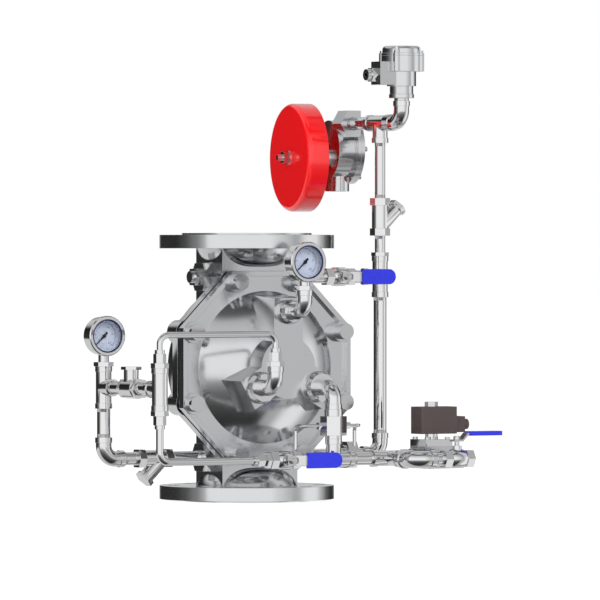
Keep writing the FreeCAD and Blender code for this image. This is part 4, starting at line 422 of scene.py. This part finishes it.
def smooth_group():
    """The node group that shades smooth across edges flatter than SMOOTH_ANGLE."""
    found = bpy.data.node_groups.get("shade_by_angle")
    if found:
        return found
    group = bpy.data.node_groups.new("shade_by_angle", "GeometryNodeTree")
    group.interface.new_socket("Geometry", in_out="INPUT", socket_type="NodeSocketGeometry")
    group.interface.new_socket("Geometry", in_out="OUTPUT", socket_type="NodeSocketGeometry")
    start = group.nodes.new("NodeGroupInput")
    end = group.nodes.new("NodeGroupOutput")
    edge_angle = group.nodes.new("GeometryNodeInputMeshEdgeAngle")
    compare = group.nodes.new("FunctionNodeCompare")
    compare.operation = "LESS_EQUAL"
    compare.inputs["B"].default_value = SMOOTH_ANGLE
    faces = group.nodes.new("GeometryNodeSetShadeSmooth")
    faces.domain = "FACE"
    edges = group.nodes.new("GeometryNodeSetShadeSmooth")
    edges.domain = "EDGE"
    group.links.new(edge_angle.outputs["Unsigned Angle"], compare.inputs["A"])
    group.links.new(start.outputs["Geometry"], faces.inputs["Geometry"])
    group.links.new(faces.outputs["Geometry"], edges.inputs["Geometry"])
    group.links.new(compare.outputs["Result"], edges.inputs["Shade Smooth"])
    group.links.new(edges.outputs["Geometry"], end.inputs["Geometry"])
    return group


def add_piece(name, points, faces, material, slot, body="valve", turn_smooth=True):
    """A mesh piece that rides on a body, with one finish."""
    mesh = bpy.data.meshes.new(name)
    mesh.from_pydata([tuple(point) for point in points], [], faces)
    mesh.validate()
    mesh.materials.append(material)
    piece = bpy.data.objects.new(name, mesh)
    scene.collection.objects.link(piece)
    if turn_smooth:
        smooth(piece)
    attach(piece, body)


def joined(shapes):
    """One shape from several, each its points and faces."""
    points, faces = [], []
    for more_points, more_faces in shapes:
        first = len(points)
        points += more_points
        faces += [tuple(first + corner for corner in face) for face in more_faces]
    return points, faces


def frame_round(axis):
    """Two directions square to an axis and to each other."""
    helper = UP if abs(axis.z) < 0.9 else Vector((1, 0, 0))
    across = axis.cross(helper).normalized()
    return across, axis.cross(across).normalized()


def turned(centre, axis, outline, steps):
    """Points and faces of a closed ring: (radius, height) corners turned about an axis."""
    axis = axis.normalized()
    across, up = frame_round(axis)
    points, faces = [], []
    count = len(outline)
    for step in range(steps):
        angle = 2 * math.pi * step / steps
        outwards = across * math.cos(angle) + up * math.sin(angle)
        points += [centre + outwards * radius + axis * height for radius, height in outline]
    for step in range(steps):
        here, there = step * count, (step + 1) % steps * count
        for corner in range(count):
            after = (corner + 1) % count
            faces.append((here + corner, there + corner, there + after, here + after))
    return points, faces


def dial_point(centre, angle, radius, height):
    """A point on a dial: degrees clockwise from the top, then metres outwards and forwards."""
    angle = math.radians(angle)
    return centre + Vector((math.sin(angle) * radius, -height, math.cos(angle) * radius))


def dial_bar(centre, angle, inner, outer, width):
    """A thin bar on a dial, along its radius."""
    turn = math.radians(angle)
    side = Vector((math.cos(turn), 0, -math.sin(turn))) * (width / 2)
    points = []
    for height in (DIAL_FRONT, DIAL_FRONT + DIAL_INK_HEIGHT):
        for radius, way in ((inner, -1), (inner, 1), (outer, 1), (outer, -1)):
            points.append(dial_point(centre, angle, radius, height) + side * way)
    faces = [(0, 1, 2, 3), (7, 6, 5, 4), (0, 4, 5, 1), (1, 5, 6, 2), (2, 6, 7, 3), (3, 7, 4, 0)]
    return points, faces


def dial_scale(centre):
    """A dial's scale marks and the arc line round them."""
    bars = []
    for mark in range(SCALE_MARKS + 1):
        angle = SCALE_START + SCALE_SWEEP * mark / SCALE_MARKS
        inner, width = SHORT_MARK_INNER, SHORT_MARK_WIDTH
        if mark % LONG_EVERY == 0:
            inner, width = LONG_MARK_INNER, LONG_MARK_WIDTH
        elif mark % MIDDLE_EVERY == 0:
            inner = MIDDLE_MARK_INNER
        bars.append(dial_bar(centre, angle, inner, MARK_OUTER, width))
    width = math.radians(SCALE_SWEEP / ARC_PIECES) * ARC_MIDDLE
    for number in range(ARC_PIECES):
        angle = SCALE_START + SCALE_SWEEP * (number + 0.5) / ARC_PIECES
        bars.append(dial_bar(centre, angle, MARK_OUTER, ARC_OUTER, width))
    return joined(bars)


def dial_number(words, centre, angle):
    """One printed number, as a thin mesh on the dial."""
    curve = bpy.data.curves.new("number", "FONT")
    curve.body = words
    curve.size = NUMBER_SIZE
    curve.align_x = "CENTER"
    curve.align_y = "CENTER"
    curve.extrude = DIAL_INK_HEIGHT / 2
    curve.resolution_u = NUMBER_RESOLUTION
    flat = bpy.data.objects.new("number", curve)
    scene.collection.objects.link(flat)
    bpy.context.view_layer.update()
    evaluated = flat.evaluated_get(bpy.context.evaluated_depsgraph_get())
    shape = bpy.data.meshes.new_from_object(evaluated)
    bpy.data.objects.remove(flat)
    middle = dial_point(centre, angle, NUMBER_RADIUS, DIAL_FRONT + DIAL_INK_HEIGHT / 2)
    points = [middle + Vector((v.co.x, -v.co.z, v.co.y)) for v in shape.vertices]
    faces = [tuple(face.vertices) for face in shape.polygons]
    bpy.data.meshes.remove(shape)
    return points, faces


def dial_numbers(centre):
    """The numbers round a dial."""
    gaps = len(NUMBERS) - 1
    return joined([
        dial_number(words, centre, SCALE_START + SCALE_SWEEP * number / gaps)
        for number, words in enumerate(NUMBERS)
    ])


def dress_gauges(finishes):
    """Scale, numbers, dark window ring and pointer hub of both gauges."""
    front = Vector((0, -1, 0))
    ink, ring, black = finishes["dial_ink"], finishes["dial_ring"], finishes["pointer"]
    for joint in frame["record"]["behaviour"]["joints"]:
        needle = joint["child"]
        if needle not in ("supply_needle", "control_needle"):
            continue
        side = needle.split("_")[0]
        centre = Vector(joint["pos_m"])
        scale, numbers = dial_scale(centre), dial_numbers(centre)
        add_piece(side + "_dial_scale", *scale, ink, "pointer", turn_smooth=False)
        add_piece(side + "_dial_numbers", *numbers, ink, "pointer", turn_smooth=False)
        window_ring = turned(centre, front, WINDOW_RING, RING_STEPS)
        add_piece(side + "_window_ring", *window_ring, ring, "rubber")
        hub = turned(centre, front, POINTER_HUB, HUB_STEPS)
        add_piece(side + "_pointer_hub", *hub, black, "pointer", needle)


def thread_turns(mouth, way, radius):
    """The ridged ring of a few thread turns on a pipe, from its mouth."""
    root = radius - 2 * THREAD_DEPTH
    valley = radius - THREAD_DEPTH / 8
    outline = [(root, THREAD_PITCH * THREAD_TURNS), (root, 0)]
    for crest in range(THREAD_TURNS):
        outline.append((valley, THREAD_PITCH * crest + THREAD_PITCH / 8))
        outline.append((radius + THREAD_DEPTH, THREAD_PITCH * (crest + 0.5)))
    outline.append((valley, THREAD_PITCH * THREAD_TURNS))
    return turned(Vector(mouth), Vector(way), outline, THREAD_STEPS)


def cut_threads(finishes):
    """The last thread turns that show where pipes enter their fittings."""
    for name, ends in THREADED_ENDS.items():
        shape = joined([thread_turns(*end) for end in ends])
        add_piece(name, *shape, finishes["chrome_fittings"], "chrome_fittings")


scene.view_settings.view_transform = "Standard"
make_camera()
make_world()
make_floor()
make_lamps()
finishes = make_finishes()
dress_nodes(finishes)
dress_gauges(finishes)
cut_threads(finishes)
